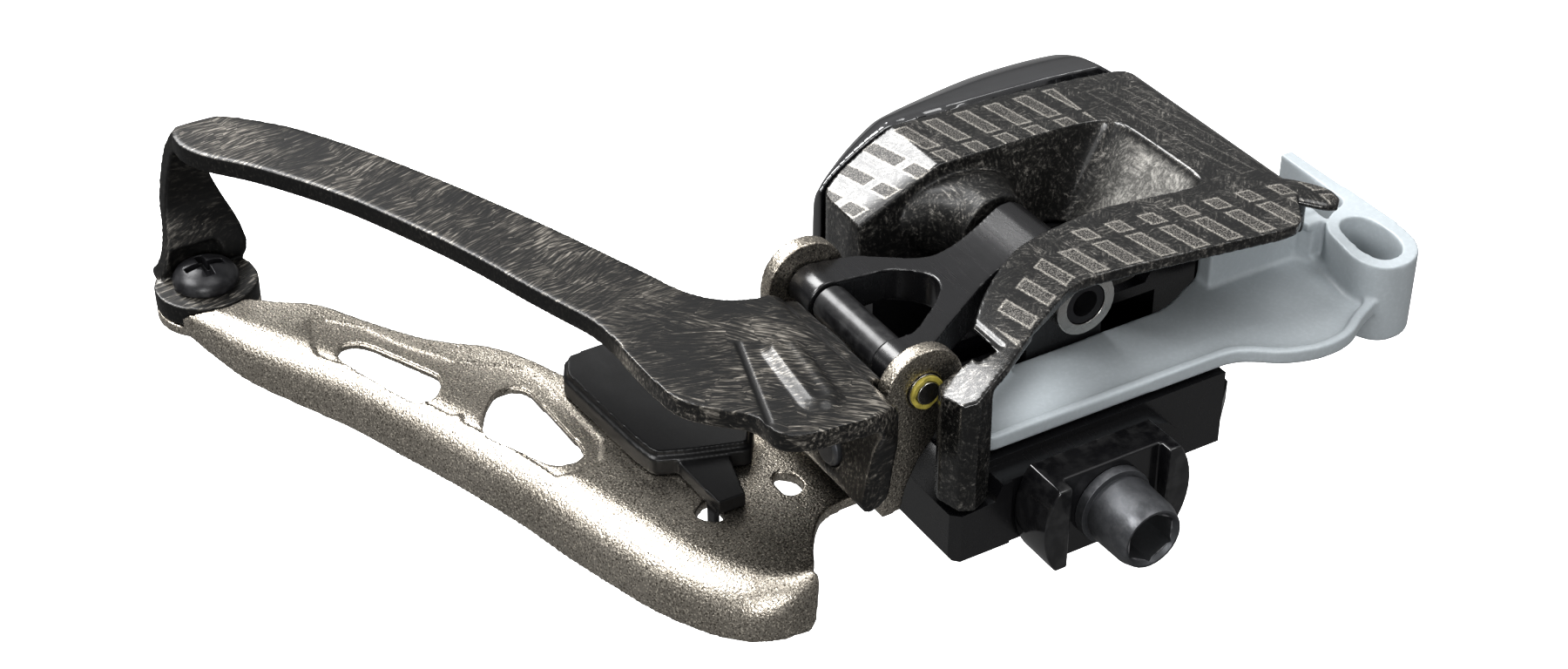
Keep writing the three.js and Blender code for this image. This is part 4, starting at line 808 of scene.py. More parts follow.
# Windows, small holes and the shallow pocket in the web: x, y.
SLOT_WINDOW = [
    (-70.3, -67.7), (-71.8, -66.6), (-71.4, -64.5), (-69.7, -63.3), (-59.5, -58.6),
    (-57.2, -58.9), (-55.0, -60.9), (-55.1, -62.9), (-56.7, -63.7), (-68.5, -67.8),
]
TRIANGLE_WINDOW = [
    (-47.5, -57.8), (-49.7, -56.4), (-52.0, -54.2), (-52.3, -52.0), (-51.2, -50.5),
    (-49.6, -50.1), (-36.6, -49.7), (-34.7, -50.3), (-34.1, -51.6), (-34.4, -53.6),
    (-35.8, -54.9), (-44.4, -58.7), (-46.3, -58.6),
]
CLIP_HOLE = [
    (-17.2, -44.8), (-19.0, -42.8), (-19.4, -41.3), (-15.3, -41.4), (-14.5, -42.5),
    (-15.7, -43.9),
]
KEY_HOLE = [
    (-18.8, -33.0), (-19.6, -32.1), (-18.7, -30.8), (-16.8, -30.1), (-15.2, -30.6),
    (-14.4, -32.2), (-14.9, -33.3), (-16.7, -33.6),
]
POCKET = [
    (-78.0, -68.0), (-77.6, -66.4), (-73.4, -63.0), (-66.8, -60.0), (-60.4, -56.0),
    (-57.0, -51.6), (-54.6, -49.0), (-50.0, -47.9), (-36.0, -47.6), (-32.6, -49.6),
    (-31.9, -52.0), (-33.2, -55.0), (-35.2, -56.8), (-44.2, -60.6), (-47.4, -60.2),
    (-50.0, -59.2), (-54.2, -64.4), (-56.4, -65.6), (-68.4, -69.6), (-72.6, -69.6),
]
POCKET_DEPTH = 0.30
# Lower ears: y, z, own radius if given.
LOW_EAR = [
    (-24.9, 0.2, 0.0), (-19.6, 0.2), (-17.2, 2.0), (-16.2, 4.7), (-17.2, 7.2), (-19.6, 8.0),
    (-24.9, 8.0, 0.0),
]
# The tall ears' lower edge up to the round end: y, z.
EAR_EDGE = [(-24.9, -0.4), (-22.2, -0.4), (-21.4, 3.0), (-20.0, 6.0), (-17.6, 9.0)]
WEB_TOP, WEB_THICK = 1.0, 1.5


def flange():
    """The rolled flange, and the line where it meets the web."""
    stations = dense(FLANGE, 5)
    rows, roots = [], []
    for i, (x, y, lip, outer) in enumerate(stations):
        a, b = stations[max(0, i - 1)], stations[min(len(stations) - 1, i + 1)]
        length = math.hypot(b[0] - a[0], b[1] - a[1])
        out_x, out_y = (b[1] - a[1]) / length, -(b[0] - a[0]) / length
        inner = max(0.3, outer - WEB_THICK)

        def roll(radius, turns):
            return [
                (radius * math.sin(turn), WEB_TOP - outer + radius * math.cos(turn))
                for turn in turns
            ]

        profile = [(-0.6, WEB_TOP)]
        profile += roll(outer, np.linspace(0, math.pi / 2, 13))
        profile += [(outer, lip), (inner, lip)]
        profile += roll(inner, np.linspace(math.pi / 2, 0, 10))
        profile += [(-0.6, WEB_TOP - (outer - inner))]
        rows.append([(x + out_x * (o - outer), y + out_y * (o - outer), z) for o, z in profile])
        roots.append((x - out_x * outer, y - out_y * outer, 0.0))
    return loft(rows), roots


def inner_plate():
    """Rolled flange, flat web with a shallow pocket, and four ears."""
    rolled, roots = flange()
    web = prism(soft(roots + WEB_REST), WEB_TOP - WEB_THICK, WEB_TOP)
    ear = EAR_EDGE + arc(CAGE_PIN_Y, CAGE_PIN_Z, 5.5, -62, 180, 60) + [(-24.9, 15.8)]
    low_ear = soft(LOW_EAR, 1.6)
    disc_low, disc_top = -3.6, -2.1
    ramp = loft([
        [(-90.0, -81.2, -3.0), (-90.0, -71.0, -3.6), (-90.0, -71.0, disc_top),
         (-90.0, -81.4, disc_top)],
        [(-84.6, -78.4, -3.0), (-84.6, -69.2, -0.5), (-84.6, -69.2, WEB_TOP),
         (-84.6, -76.0, WEB_TOP)],
    ])
    plate = combine(
        web,
        ("+", rolled),
        ("+", rod("z", TAIL_X, TAIL_Y, 6.9, disc_low, disc_top, 64)),
        ("+", ramp),
        # upright wall and its ears
        ("+", block(-35.6, -7.0, -24.9, -23.2, -0.5, 9.5)),
        ("+", prism(ear, -9.1, -7.0, "x"), prism(ear, -35.6, -33.5, "x")),
        ("+", prism(low_ear, -17.6, -15.9, "x"), prism(low_ear, -28.1, -26.4, "x")),
        ("-", rod("x", CAGE_PIN_Y, CAGE_PIN_Z, 2.3, -40, 0)),
        ("-", rod("x", CAGE_PIN_Y, CAGE_PIN_Z - 11.5, 1.25, -32, -14)),
        ("-", prism(soft(SLOT_WINDOW, 0.9), -3, 3), prism(soft(TRIANGLE_WINDOW, 0.9), -3, 3)),
        ("-", prism(soft(CLIP_HOLE, steps=4), -3, 3), prism(soft(KEY_HOLE, steps=4), -3, 3)),
        # tail hole, and clear space over the disc
        ("-", rod("z", TAIL_X, TAIL_Y, 1.6, -6, 3)),
        ("-", rod("z", TAIL_X, TAIL_Y, 7.2, disc_top, 4, 64)),
        ("-", block(-110, -93.2, -90, -60, disc_top, 4)),
        ("-", *nose_rods(1.3, -30, -20)),
    )
    skin(plate, voxel=0.25, smooth=4)
    points = points_of(plate)
    xy = points[:, :2]
    top = (points[:, 2] > 0.55) & (points[:, 2] < 1.4)
    away = np.where(within(xy, POCKET), 0.0, to_outline(xy, POCKET))
    points[:, 2] -= np.where(top, POCKET_DEPTH * ease((0.7 - away) / 0.7), 0.0)
    put_points(plate, points)
    place(plate, "cage_inner_plate_look", "cage", keep=0.42, node="inner_cage_plate")


# ------------------------------------------------------------------- thread lock
def thread_lock():
    """Ring of dried thread lock on the front end of the cage's pivot pin."""
    ring = combine(
        rod("x", CAGE_PIN_Y, CAGE_PIN_Z, 2.2, -6.88, -6.35, 40),
        ("-", rod("x", CAGE_PIN_Y, CAGE_PIN_Z, 1.55, -8, -5)),
    )
    skin(ring, voxel=0.08, smooth=3)
    points = points_of(ring)
    turn = np.arctan2(points[:, 2] - CAGE_PIN_Z, points[:, 1] - CAGE_PIN_Y)
    waves = 0.10 * np.sin(3 * turn + 0.6) + 0.06 * np.sin(7 * turn)
    points[:, 0] += np.where(points[:, 0] > -6.6, waves, 0)
    put_points(ring, points)
    place(ring, "thread_lock", "cage", keep=0.5)


# -------------------------------------------------------------- outer cage plate
# The arm's outline: x, y, own radius if given.
ARM_OUTLINE = [
    (-103.2, -73.0), (-102.7, -69.6), (-100.8, -67.2), (-97.8, -64.5), (-94.8, -62.0),
    (-90.7, -59.5), (-86.3, -57.1), (-81.8, -54.8), (-75.6, -52.0), (-70.5, -49.7),
    (-63.6, -46.9), (-56.7, -44.2), (-49.8, -41.7), (-43.2, -39.4), (-39.2, -38.0),
    (-35.5, -36.9), (-32.4, -35.4), (-30.2, -33.4), (-29.0, -31.5), (-28.3, -29.6, 0.0),
    (-0.9, -29.6, 0.0), (-0.8, -30.9), (-1.3, -34.0), (-1.5, -37.0), (-2.1, -39.0),
    (-3.3, -40.8), (-4.8, -41.5), (-7.3, -41.5), (-9.0, -42.5), (-10.7, -44.4),
    (-12.8, -46.3), (-14.5, -47.4), (-16.7, -48.1), (-20.3, -48.3), (-24.1, -48.4),
    (-28.4, -48.2), (-31.7, -48.3), (-34.9, -48.8), (-39.6, -50.4), (-45.3, -52.2),
    (-51.5, -53.9), (-57.4, -55.8), (-62.8, -57.8), (-69.3, -60.4), (-74.0, -62.4),
    (-78.4, -64.6), (-82.6, -67.0), (-86.7, -69.5), (-89.6, -71.6), (-93.2, -74.6),
    (-97.0, -76.4), (-100.6, -76.4), (-102.6, -75.0),
]
# The nose wall's section: y, z, own radius if given.
NOSE_WALL = [
    (-30.5, 20.5, 0.0), (-28.6, 20.5), (-27.2, 20.1), (-26.2, 19.3), (-25.5, 18.1),
    (-25.3, 16.6), (-25.3, 3.4), (-29.3, 2.6), (-28.6, 15.0), (-28.7, 16.9), (-29.4, 17.9),
    (-30.5, 17.9, 0.0),
]
# The nose wall's plan (x, y) and the cut that curves its front end (x, z), with radii.
NOSE_PLAN = [
    (-28.3, -31.0, 0), (-28.3, -24.0, 0), (-3.6, -24.0, 5.5), (-0.9, -29.0, 2.5),
    (-0.9, -31.0, 0),
]
NOSE_CUT = [
    (-5.6, 0, 0), (-4.9, 3.0), (-3.6, 12.0), (-1.6, 16.6), (2.0, 18.6, 0), (2.0, 0, 0),
]
# A ledge on the +Y side of the nose wall: y, z, radius.
LEDGE = [
    (-25.6, 10.2, 0), (-23.2, 10.2, 0.4), (-23.2, 17.0, 0.3), (-23.9, 18.1, 0.3),
    (-25.6, 18.6, 0),
]
# The twisted bridge at the tail: z, tailward x, noseward x, near (-Y) y, far (+Y) y.
BRIDGE = [
    (19.6, -102.9, -98.6, -75.6, -71.4), (18.4, -103.1, -99.8, -76.2, -71.6),
    (17.0, -103.4, -100.6, -76.8, -72.0), (13.0, -104.0, -101.3, -77.6, -71.6),
    (9.2, -103.6, -101.0, -78.4, -70.4), (6.4, -101.4, -98.9, -79.2, -69.4),
    (4.0, -99.9, -97.4, -80.2, -69.0), (2.2, -99.9, -97.0, -81.0, -69.2),
    (0.8, -100.9, -97.4, -81.5, -69.8), (-1.8, -100.4, -96.0, -80.8, -71.6),
]
BULGE = ((-16.9, -32.4), (-7.0, -33.6))  # centre line of the raised bulge: x, y
ARM_TOP, ARM_THICK = 20.5, 2.6
TIP_X, TIP_RADIUS = -103.2, 1.3  # the round bend at the arm's tail end


def shape_arm(points, arm):
    """Rounds the arm's tail end and models the relief of its top face."""
    center_x, center_z = TIP_X + TIP_RADIUS, ARM_TOP - TIP_RADIUS
    dx, dz = points[:, 0] - center_x, points[:, 2] - center_z
    away = np.hypot(dx, dz)
    bend = (dx < 0) & (dz > 0) & (away > TIP_RADIUS)
    away = np.maximum(away, 1e-6)
    points[:, 0] = np.where(bend, center_x + dx * TIP_RADIUS / away, points[:, 0])
    points[:, 2] = np.where(bend, center_z + dz * TIP_RADIUS / away, points[:, 2])
    xy = points[:, :2]
    top = ease((points[:, 2] - (ARM_TOP - 0.7)) / 0.5)
    # raised bulge near the nose, with a hollow along its crest
    _, away = to_segment(xy, *BULGE)
    points[:, 2] += top * (0.85 * ease((3.0 - away) / 2.0) - 0.20 * ease((1.7 - away) / 1.6))
    # the crease beside it, fading out at both ends
    share, away = to_segment(xy, *CREASE)
    fade = np.where((share > 0) & (share < 1), ease(np.minimum(share, 1 - share) / 0.06), 0)
    points[:, 2] -= top * 0.20 * ease((0.60 - away) / 0.5) * fade
    # a slight crown along the arm
    edge = to_outline(xy, arm)
    points[:, 2] -= top * 0.09 * ease((0.9 - edge) / 0.9) * ease((-24 - xy[:, 0]) / 10)


def outer_plate():
    """The arm, its nose wall and the twisted bridge at the tail."""
    arm = soft(ARM_OUTLINE)
    bridge = loft([
        [(tailward, near, z), (tailward, far, z), (noseward, far, z), (noseward, near, z)]
        for z, tailward, noseward, near, far in dense(BRIDGE)
    ])
    nose = combine(
        prism(soft(NOSE_WALL, 3.0), -28.3, -0.9, "x"),
        ("*", prism(soft(NOSE_PLAN, 0, 8), 0, 30)),
        ("-", prism(soft(NOSE_CUT, steps=6), -40, -20, "y")),
    )
    plate = combine(
        prism(arm, ARM_TOP - ARM_THICK, ARM_TOP),
        ("+", nose),
        ("+", prism(soft(LEDGE, 0.5), -28.3, -9.5, "x")),
        ("+", bridge),
        # the tail disc with its hole and counterbore
        ("+", rod("z", TAIL_X, TAIL_Y, 6.9, -1.8, 1.0, 72)),
        ("-", rod("z", TAIL_X, TAIL_Y, 1.8, -6, 5), rod("z", TAIL_X, TAIL_Y, 4.75, 1.01, 4.6)),
        ("-", *nose_rods(1.5, -32, -20)),
        ("-", *nose_rods(2.6, -32, -27.9)),
    )
    skin(plate, voxel=0.25, smooth=4)
    points = points_of(plate)
    shape_arm(points, arm)
    put_points(plate, points)
    place(plate, "cage_outer_plate_look", "cage", keep=0.45, node="outer_cage_plate")


# ------------------------------------------------------------------ carbon shell
# Outside plan of the shell: x, y, own radius if given.
SHELL_PLAN = [
    (-3.6, -19.4, 0.3), (-0.2, -18.6, 0.3), (0.6, -16.8, 0.3), (-2.1, -10.9, 0.3),
    (-5.4, -5.0, 0.3), (-9.9, 4.0, 3.0), (-9.0, 11.7, 3.0), (-7.2, 23.6), (-5.6, 33.6),
    (-6.4, 36.0), (-12.6, 40.0), (-13.4, 43.6), (-48.3, 43.6), (-48.9, 39.5, 99),
    (-49.7, 34.0, 99), (-50.9, 24.0, 99), (-51.9, 12.0, 99), (-52.2, 5.5, 99),
    (-51.7, 0.5, 99), (-50.3, -5.0, 99), (-48.8, -7.7), (-38.6, -8.0, 0.0),
    (-20.0, -8.0, 0.0), (-6.2, -12.2, 0.0), (-5.4, -18.6, 0.0),
]
# Plan of the room inside: x, y.
ROOM_PLAN = [
    (-1.0, -14.0), (6.0, -14.0), (12.0, -5.0), (12.0, 50.0), (-12.0, 50.0), (-15.0, 41.9),
    (-46.8, 41.9), (-47.4, 39.4), (-48.1, 34.0), (-49.3, 24.0), (-50.3, 12.0), (-50.6, 5.5),
    (-50.1, 0.9), (-48.9, -4.2), (-47.9, -6.2), (-38.2, -6.4), (-20.0, -20.0),
    (-6.2, -14.0),
]
# Side views of the shell and of the room: y, z, own radius if given.
SHELL_SIDE = [
    (-20.0, 2.4, 0), (-20.0, 17.4, 0.8), (-16.0, 18.6), (-11.0, 20.0), (-5.0, 21.2),
    (2.0, 22.0), (38.0, 22.0, 4.0), (40.4, 21.6), (42.2, 20.4), (43.2, 18.6), (43.5, 16.4),
    (43.5, 2.4, 0),
]
ROOM_SIDE = [
    (-22.0, 0, 0), (-22.0, 15.6, 0), (-16.4, 17.0), (-11.4, 18.4), (-5.2, 19.6),
    (2.0, 20.4), (37.6, 20.4, 3.0), (39.8, 20.0), (41.0, 19.0), (41.7, 17.8), (41.9, 16.0),
    (41.9, 0, 0),
]
# The scoop: x and y at the roof, x and y at its floor, how x and y move as it grows, radius.
SCOOP = [
    (-41.0, -40, -37.6, -40, -1, 0, 0), (-40.9, 6.4, -37.8, 3.0, -1, 0, 3),
    (-40.6, 13.5, -38.0, 10.0, -1, 0, 3), (-40.4, 20.6, -38.0, 15.0, -1, 0, 3),
    (-40.0, 26.1, -38.0, 19.6, -1, 0, 3), (-38.8, 30.4, -37.0, 21.6, -0.7, 0.6, 3),
    (-36.6, 31.5, -35.6, 22.0, 0, 1, 3), (-25.6, 31.9, -27.0, 21.0, 0, 1, 3),
    (-20.3, 31.9, -22.9, 20.4, 1, 1, 3), (-19.4, 29.4, -22.5, 20.2, 1, 0, 3),
    (-20.5, 23.3, -22.2, 17.4, 1, 0, 3), (-21.9, 15.8, -22.0, 13.0, 1, 0, 3),
    (-20.9, 6.6, -20.9, 6.6, 1, 0, 3), (-19.4, 1.2, -19.4, 1.2, 1, 0, 3),
    (-14.8, -5.9, -14.8, -5.9, 1, 0, 3), (-9.5, -11.6, -9.5, -11.6, 1, 0, 3),
    (-6.1, -12.3, -6.1, -12.3, 0, 0, 0), (-6.1, -40, -6.1, -40, 0, 0, 0),
]
# Round boss on the link's pin, along X: x, y, z, radius in y, radius in z.
BOSS = [
    (-40.2, 6.8, 14.2, 10.0, 5.8), (-37.6, 7.6, 15.0, 7.4, 5.6),
    (-35.0, BODY_PIN_Y, 15.5, 5.6, 5.2), (-31.9, BODY_PIN_Y, BODY_PIN_Z, 5.0, 5.0),
]
# Rounded lip at the +X +Y corner: x, y, z, half width, half height.
LIP = [
    (-17.0, 37.5, 20.7, 2.2, 0.7), (-14.0, 40.3, 20.8, 2.6, 0.85),
    (-10.6, 43.3, 20.4, 2.3, 0.85), (-9.3, 44.5, 19.9, 1.3, 0.45),
]
SHELL_WALL = 1.6


def slope(depth):
    """What is cut away above the sloping -Y end of the roof, sunk by a depth."""
    rows = [
        [
            (x, -30, 17.2 - depth), (x, -7.7 + depth * 0.2, 17.2 - depth),
            (x, 5.4 + depth * 0.2, ROOF_Z + 0.05 - depth), (x, 5.4 + depth * 0.2, 40),
            (x, -30, 40),
        ]
        for x in (-70, -30)
    ]
    return combine(loft(rows), ("*", block(-70, -33, -40, 10, 0, 50)))


def scoop(grow):
    """The hollow the link works in, made larger by an amount."""
    roof, floor = [], []
    for roof_x, roof_y, floor_x, floor_y, move_x, move_y, radius in SCOOP:
        roof.append((roof_x + grow * move_x, roof_y + grow * move_y, radius))
        floor.append((floor_x + grow * move_x, floor_y + grow * move_y, radius))
    heights = ((floor, 9.0 - grow), (roof, ROOF_Z + 0.3))
    return loft([[(x, y, z) for x, y in soft(points, share=0.49)] for points, z in heights])


def shell():
    """Carbon shell over the motor, with the scoop."""
    outer = combine(
        prism(soft(SHELL_PLAN, 1.6, 6), 2.4, 30),
        ("*", prism(soft(SHELL_SIDE, steps=6), -70, 10, "x")),
        ("-", slope(0)),
        ("-", scoop(0)),
    )
    room = combine(
        prism(ROOM_PLAN, -1, 40),
        ("*", prism(soft(ROOM_SIDE), -70, 14, "x")),
        ("-", slope(SHELL_WALL)),
        ("-", scoop(1.1)),
    )
    boss = loft([
        [(x, y + wide * u, z + tall * w) for u, w in circle(0, 0, 1.0, 64)]
        for x, y, z, wide, tall in dense(BOSS, 5)
    ])
    lip = loft([
        [(x - 0.67 * wide * u, y + 0.74 * wide * u, z + tall * w)
         for u, w in circle(0, 0, 1.0, 32)]
        for x, y, z, wide, tall in dense(LIP)
    ])
    bay = combine(
        block(-19.6, -5, -13.4, 42, 0, 20.0), ("-", block(-19.8, -4.9, 38, 50, -1, 30))
    )
    piece = combine(
        outer,
        ("-", room),
        ("+", boss),
        ("+", lip),
        # open underside, then the space under the roof on the +X side
        ("-", block(-70, -6.05, -40, 60, -5, 9.6)),
        ("-", block(-70, 10, -13.9, 60, -5, 9.6)),
        ("-", block(-6.2, 10, -13.9, 38.9, -5, 18.0)),
        ("-", block(-21.6, 10, 36.5, 60, -5, 14.4)),
        ("-", block(-21.9, -16.0, 1.6, 14.6, -5, 20.1)),
        ("-", rod("x", BODY_PIN_Y, BODY_PIN_Z, 2.8, -50, -30)),
        ("-", bay),
    )
    skin(piece, voxel=0.25, smooth=4)
    place(piece, "shell_look", "body", keep=0.45, node="carbon_shell")


# -------------------------------------------------------------------- rear cover
# From -Y to +Y: x and y where it meets the shell, x and y at its fullest.
COVER_PLAN = [
    (-49.3, -7.6, -51.2, -7.8), (-50.7, -5.0, -53.4, -5.0), (-52.1, 0.4, -56.6, -0.4),
    (-52.6, 5.5, -59.2, 5.0), (-52.3, 12.0, -61.8, 12.5), (-51.3, 24.0, -64.5, 24.0),
    (-50.1, 34.0, -64.5, 35.4), (-49.4, 39.5, -62.4, 38.6), (-48.9, 43.6, -54.0, 41.4),
]
# Section of the cover: z, share of its full reach.
COVER_SECTION = [
    (-5.5, 0.6), (-4.2, 0.80), (-2.0, 0.92), (4.0, 0.98), (10.0, 1.0), (16.0, 0.95),
    (19.0, 0.78), (20.8, 0.5), (21.5, 0.28), (21.8, 0.12),
]
COVER_HOLLOW = [  # x, y
    (-56.8, 5.5), (-59.4, 12.5), (-62.0, 24.0), (-62.0, 34.4), (-60.2, 39.0),
    (-48.0, 39.0), (-48.0, 5.5),
]


def cover():
    """Glossy rear cover; above z 10 its section is squeezed under a sloping top."""
    stations = dense(COVER_PLAN, 6)

    def top(y):
        return min(17.2 + max(0.0, y + 7.6) * 0.35, ROOF_Z - 0.2 - max(0.0, y - 38.0) * 0.75)

    rows = []
    for z, share in dense(COVER_SECTION):
        plan = [(c[0] + (c[2] - c[0]) * share, c[1] + (c[3] - c[1]) * share) for c in stations]
        plan += [(c[0], c[1]) for c in stations[:-1][::-1]]
        rows.append([
            (x, y, z if z < 10 else 10 + (z - 10) * (top(y) - 10) / (ROOF_Z - 10.2))
            for x, y in plan
        ])
    piece = combine(loft(rows), ("-", prism(COVER_HOLLOW, -2.0, 16.0)))
    skin(piece, voxel=0.3, smooth=6)
    place(piece, "rear_cover_look", "body", keep=0.5, node="rear_cover")


# ------------------------------------------------------------- battery bay cover
# Outlines of the tray, the loop at its +Y end and the slot in the loop: x, y, radius.
TRAY = [
    (-6.6, -14.2, 1.5), (-4.2, -12.6, 2.5), (-3.9, 24.6, 2.5), (-2.4, 27.4, 2.0),
    (-0.2, 30.0, 3.0), (1.4, 35.0, 3.0), (0.9, 40.0, 3.0), (-1.6, 43.8, 3.0),
    (-3.2, 47.8, 0.5), (-16.0, 48.2, 0.5), (-20.2, 44.0, 1.0), (-20.2, 31.2, 1.0),
    (-16.6, 23.8, 2.0), (-16.4, -1.0, 2.0), (-9.6, -13.2, 1.5),
]
LOOP = [
    (-31.4, 56.2, 0.3), (-31.4, 54.2, 0.3), (-17.6, 53.9, 1.5), (-16.4, 50.0, 2.0),
    (-14.0, 47.2, 2.0), (-6.0, 45.6, 2.0), (-2.2, 47.6, 2.5), (-1.9, 52.0, 2.5),
    (-4.8, 55.4, 2.5), (-9.6, 56.3, 2.0),
]
LOOP_SLOT = [
    (-14.6, 49.3), (-14.2, 53.8), (-7.6, 54.1), (-4.2, 52.2), (-4.0, 48.4), (-8.4, 47.7),
]
TRAY_RIM, TRAY_BED = 1.3, 7.1  # width of the rim, z of the bed inside it


def bay_cover():
    """Grey cover in the battery bay."""
    loop = soft(LOOP, 1, 7)
    bed = combine(
        prism(soft(inset(TRAY, TRAY_RIM), 1.6, 7), TRAY_BED, 12),
        ("-", prism(loop, 0, 20)),
        ("-", block(-20.2, -17.4, 31.6, 48.4, 0, 20)),
    )
    piece = combine(
        prism(soft(TRAY, 1, 7), 5.8, 7.9),
        ("+", block(-20.2, -17.4, 31.6, 48.4, 6.4, 13.6)),
        ("+", block(-20.0, -15.4, 45.6, 48.8, 6.4, 13.2)),
        ("+", prism(loop, 1.6, 13.0)),
        ("-", bed),
        ("-", block(-22, -14.0, -1.0, 31.5, TRAY_BED, 12)),
        ("-", prism(soft(LOOP_SLOT, steps=8), -2, 16)),
    )
    skin(piece, voxel=0.25, smooth=7)
    place(piece, "bay_cover_look", "bay_cover", keep=0.45, node="battery_bay_cover")


# -------------------------------------------------------------------- outer link
# The link's plan and the gap between its two arms: x, y, own radius if given.
LINK_PLAN = [
    (-9.4, -26.0, 0.0), (-9.4, -18.6), (-11.2, -15.6), (-14.0, -11.6), (-17.2, -6.6),
    (-20.0, -2.0), (-21.4, 2.4), (-21.4, 16.0, 0.0), (-31.4, 16.0, 0.0), (-31.4, 8.0),
    (-29.6, 2.6), (-28.6, -1.0), (-28.1, -4.4), (-29.4, -7.6), (-32.0, -11.4),
    (-33.3, -14.4), (-33.3, -26.0, 0.0),
]
LINK_GAP = [
    (-14.4, -27.0, 0.0), (-14.4, -16.6), (-15.6, -14.6), (-18.4, -10.9), (-20.6, -8.3),
    (-22.6, -7.0), (-24.4, -6.8), (-26.2, -7.8), (-27.9, -10.2), (-28.3, -12.6),
    (-28.3, -27.0, 0.0),
]


def link():
    """A side view with a round end on each pin, trimmed to the plan."""
    upper = [
        (BODY_PIN_Y - 2, BODY_PIN_Z + 4.2, 0), (2.2, BODY_PIN_Z + 3.2),
        (-4.0, BODY_PIN_Z + 2.4), (-12.0, CAGE_PIN_Z + 2.2),
        (CAGE_PIN_Y + 2, CAGE_PIN_Z + 2.6, 0),
    ]
    side = arc(BODY_PIN_Y, BODY_PIN_Z, 4.6, -110, 100, 30)
    side += soft(upper, steps=4)[1:-1]
    side += arc(CAGE_PIN_Y, CAGE_PIN_Z, 2.9, 70, 290, 30)
    side += [(-12.0, CAGE_PIN_Z - 2.4), (-4.0, BODY_PIN_Z - 2.6), (2.2, BODY_PIN_Z - 3.6)]
    piece = combine(
        prism(side, -34, -9, "x"),
        ("*", prism(soft(LINK_PLAN, steps=6), 5, 25)),
        ("-", prism(soft(LINK_GAP, steps=6), 5, 25)),
        ("-", rod("x", BODY_PIN_Y, BODY_PIN_Z, 2.5, -40, 0)),
        ("-", rod("x", CAGE_PIN_Y, CAGE_PIN_Z, 1.55, -40, 0)),
    )
    skin(piece, voxel=0.2, smooth=6)
    place(piece, "outer_link_look", "outer_link", keep=0.4, node="outer_link")


# --------------------------------------------------------------------- chafe pad
# Outlines of the pad, its tongue and the hook under the tongue: x, y.
PAD = [
    (-50.2, -45.0), (-50.5, -39.0), (-38.0, -34.0), (-26.5, -31.0), (-22.0, -34.0),
    (-24.6, -41.6), (-26.2, -45.3), (-30.0, -45.9), (-46.6, -47.0),
]
TONGUE = [(-26.0, -42.6), (-18.6, -42.4), (-15.6, -42.2), (-15.6, -38.6), (-25.0, -36.0)]
HOOK = [(-18.2, -42.5), (-16.1, -42.5), (-16.1, -41.8), (-18.2, -41.8)]
PAD_BASE = 1.05


def chafe_pad():
    """Rubbing pad in two tiers, with its tongue."""
    piece = combine(
        prism(soft(PAD, 0.9, 6), PAD_BASE, 3.5),
        ("+", prism(soft(inset(PAD, 0.5), 0.8, 6), 3.0, 4.4)),
        ("+", prism(TONGUE, PAD_BASE, 3.0)),
        ("+", prism(HOOK, -1.8, 1.3)),
    )
    skin(piece, voxel=0.2, smooth=5)
    place(piece, "chafe_pad_look", "cage", keep=0.4, node="anti_chafe_pad")


for build in (inner_plate, thread_lock, outer_plate, shell, cover, bay_cover, link, chafe_pad):
    build()
bpy.data.collections.remove(work)


# ----------------------------------------------------- stage and camera, in metres
bpy.context.view_layer.update()
scene = bpy.context.scene
FLOOR_Z = -0.075
FLOOR_HALF = 4
MIDDLE = Vector((-0.04, -0.01, 0.005))  # what the lights aim at
LIGHT_DISTANCE = 1.5  # multiplies the directions below
LIGHTS = [  # name, direction from the middle, size, size_y, power in watts
    ("left", (-0.70, -0.12, 0.70), 0.70, 0.70, 14.0),
    ("near", (-0.22, -0.60, 0.77), 0.80, 0.50, 12.5),
    ("top", (0.30, 0.20, 0.93), 0.80, 0.80, 6.0),
    ("front", (0.80, -0.50, 0.33), 0.60, 0.35, 6.5),
]


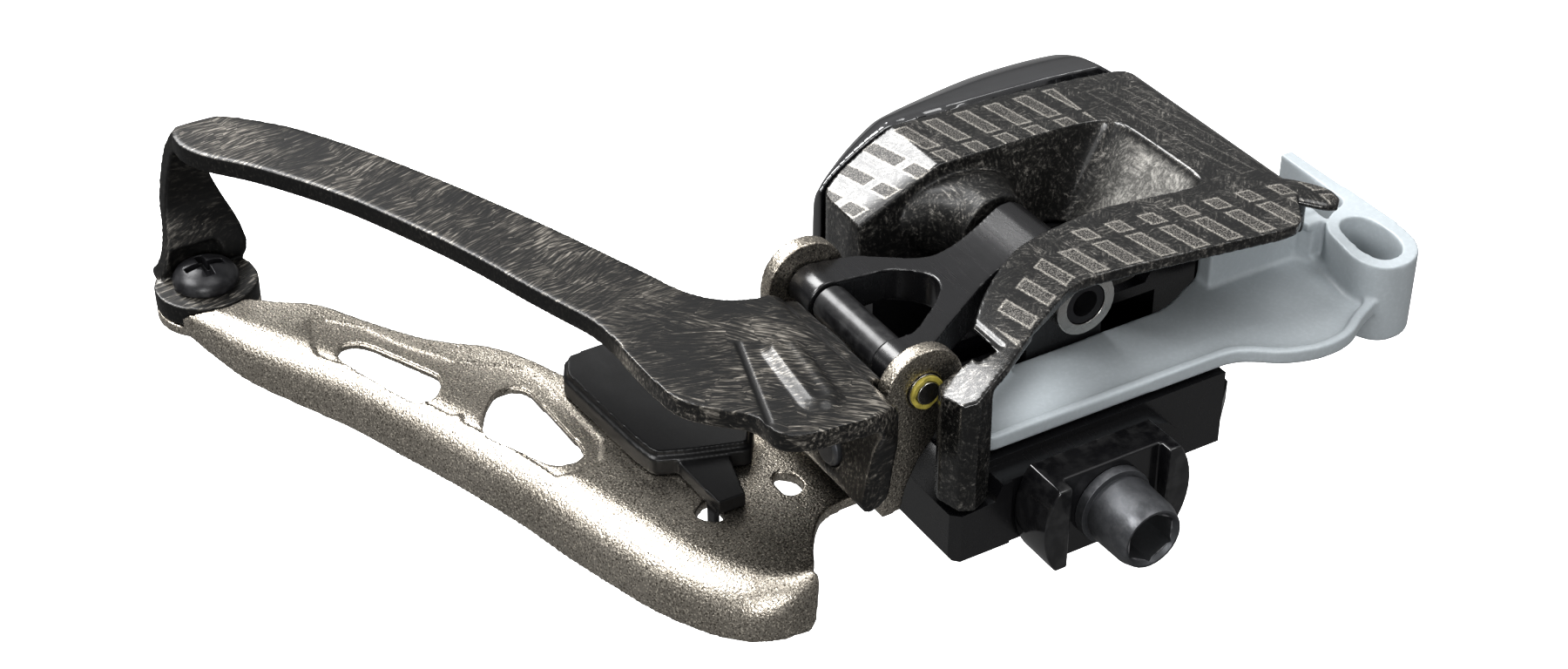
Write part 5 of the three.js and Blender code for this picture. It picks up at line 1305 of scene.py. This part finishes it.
def lay_floor():
    """A floor that looks near white to the camera but reflects little light."""
    signs = ((-1, -1), (1, -1), (1, 1), (-1, 1))
    corners = [(FLOOR_HALF * u, FLOOR_HALF * v, FLOOR_Z) for u, v in signs]
    mesh = bpy.data.meshes.new("floor")
    mesh.from_pydata(corners, [], [(0, 1, 2, 3)])
    floor = bpy.data.objects.new("floor", mesh)
    scene.collection.objects.link(floor)
    shader = Shader("floor")
    seen = shader.node("LightPath", output="Is Camera Ray")
    cloud = shader.noise(scale=3.0, detail=2.0)
    unseen = shader.mix(cloud, (0.13, 0.13, 0.13), (0.15, 0.15, 0.15))
    shader.set(
        Base_Color=shader.mix(seen, unseen, (0.80, 0.80, 0.795)),
        Roughness=0.9,
        Emission_Color=(1.0, 1.0, 1.0),
        Emission_Strength=seen * 0.62,
    )
    mesh.materials.append(MATERIALS["floor"])


def light_world():
    """A white surround whose strength changes with height."""
    world = bpy.data.worlds.new("studio")
    world.use_nodes = True
    scene.world = world
    tree = world.node_tree
    background = tree.nodes["Background"]
    geometry = tree.nodes.new("ShaderNodeNewGeometry")
    split = tree.nodes.new("ShaderNodeSeparateXYZ")
    strength = tree.nodes.new("ShaderNodeMapRange")
    ranges = {"From Min": 0.10, "From Max": -0.8, "To Min": 0.09, "To Max": 0.56}
    for key, value in ranges.items():
        strength.inputs[key].default_value = value
    background.inputs["Color"].default_value = (1.0, 1.0, 1.0, 1.0)
    tree.links.new(geometry.outputs["Incoming"], split.inputs[0])
    tree.links.new(split.outputs["Z"], strength.inputs[0])
    tree.links.new(strength.outputs[0], background.inputs["Strength"])


def add_light(name, direction, size, size_y, power):
    where = MIDDLE + Vector(direction) * LIGHT_DISTANCE
    light = bpy.data.lights.new(name, "AREA")
    light.shape = "RECTANGLE"
    light.size = size
    light.size_y = size_y
    light.energy = power
    lamp = bpy.data.objects.new(name, light)
    lamp.location = where
    lamp.rotation_mode = "QUATERNION"
    lamp.rotation_quaternion = (MIDDLE - where).to_track_quat("-Z", "Y")
    scene.collection.objects.link(lamp)


def add_camera():
    lens = bpy.data.cameras.new("camera")
    lens.sensor_width = 36.0
    lens.lens = 61.5
    lens.clip_start = 0.01
    lens.clip_end = 20.0
    camera = bpy.data.objects.new("camera", lens)
    scene.collection.objects.link(camera)
    # columns: the camera's right, up and backward directions
    axes = Matrix((
        (0.5125, -0.4907, 0.7047),
        (0.8587, 0.2929, -0.4206),
        (0.0, 0.8206, 0.5714),
    ))
    camera.matrix_world = Matrix.Translation((0.2011, -0.1486, 0.1997)) @ axes.to_4x4()
    scene.camera = camera


lay_floor()
light_world()
scene.view_settings.view_transform = "Standard"
scene.view_settings.exposure = 0.55
scene.view_settings.gamma = 0.80
for light_row in LIGHTS:
    add_light(*light_row)
add_camera()
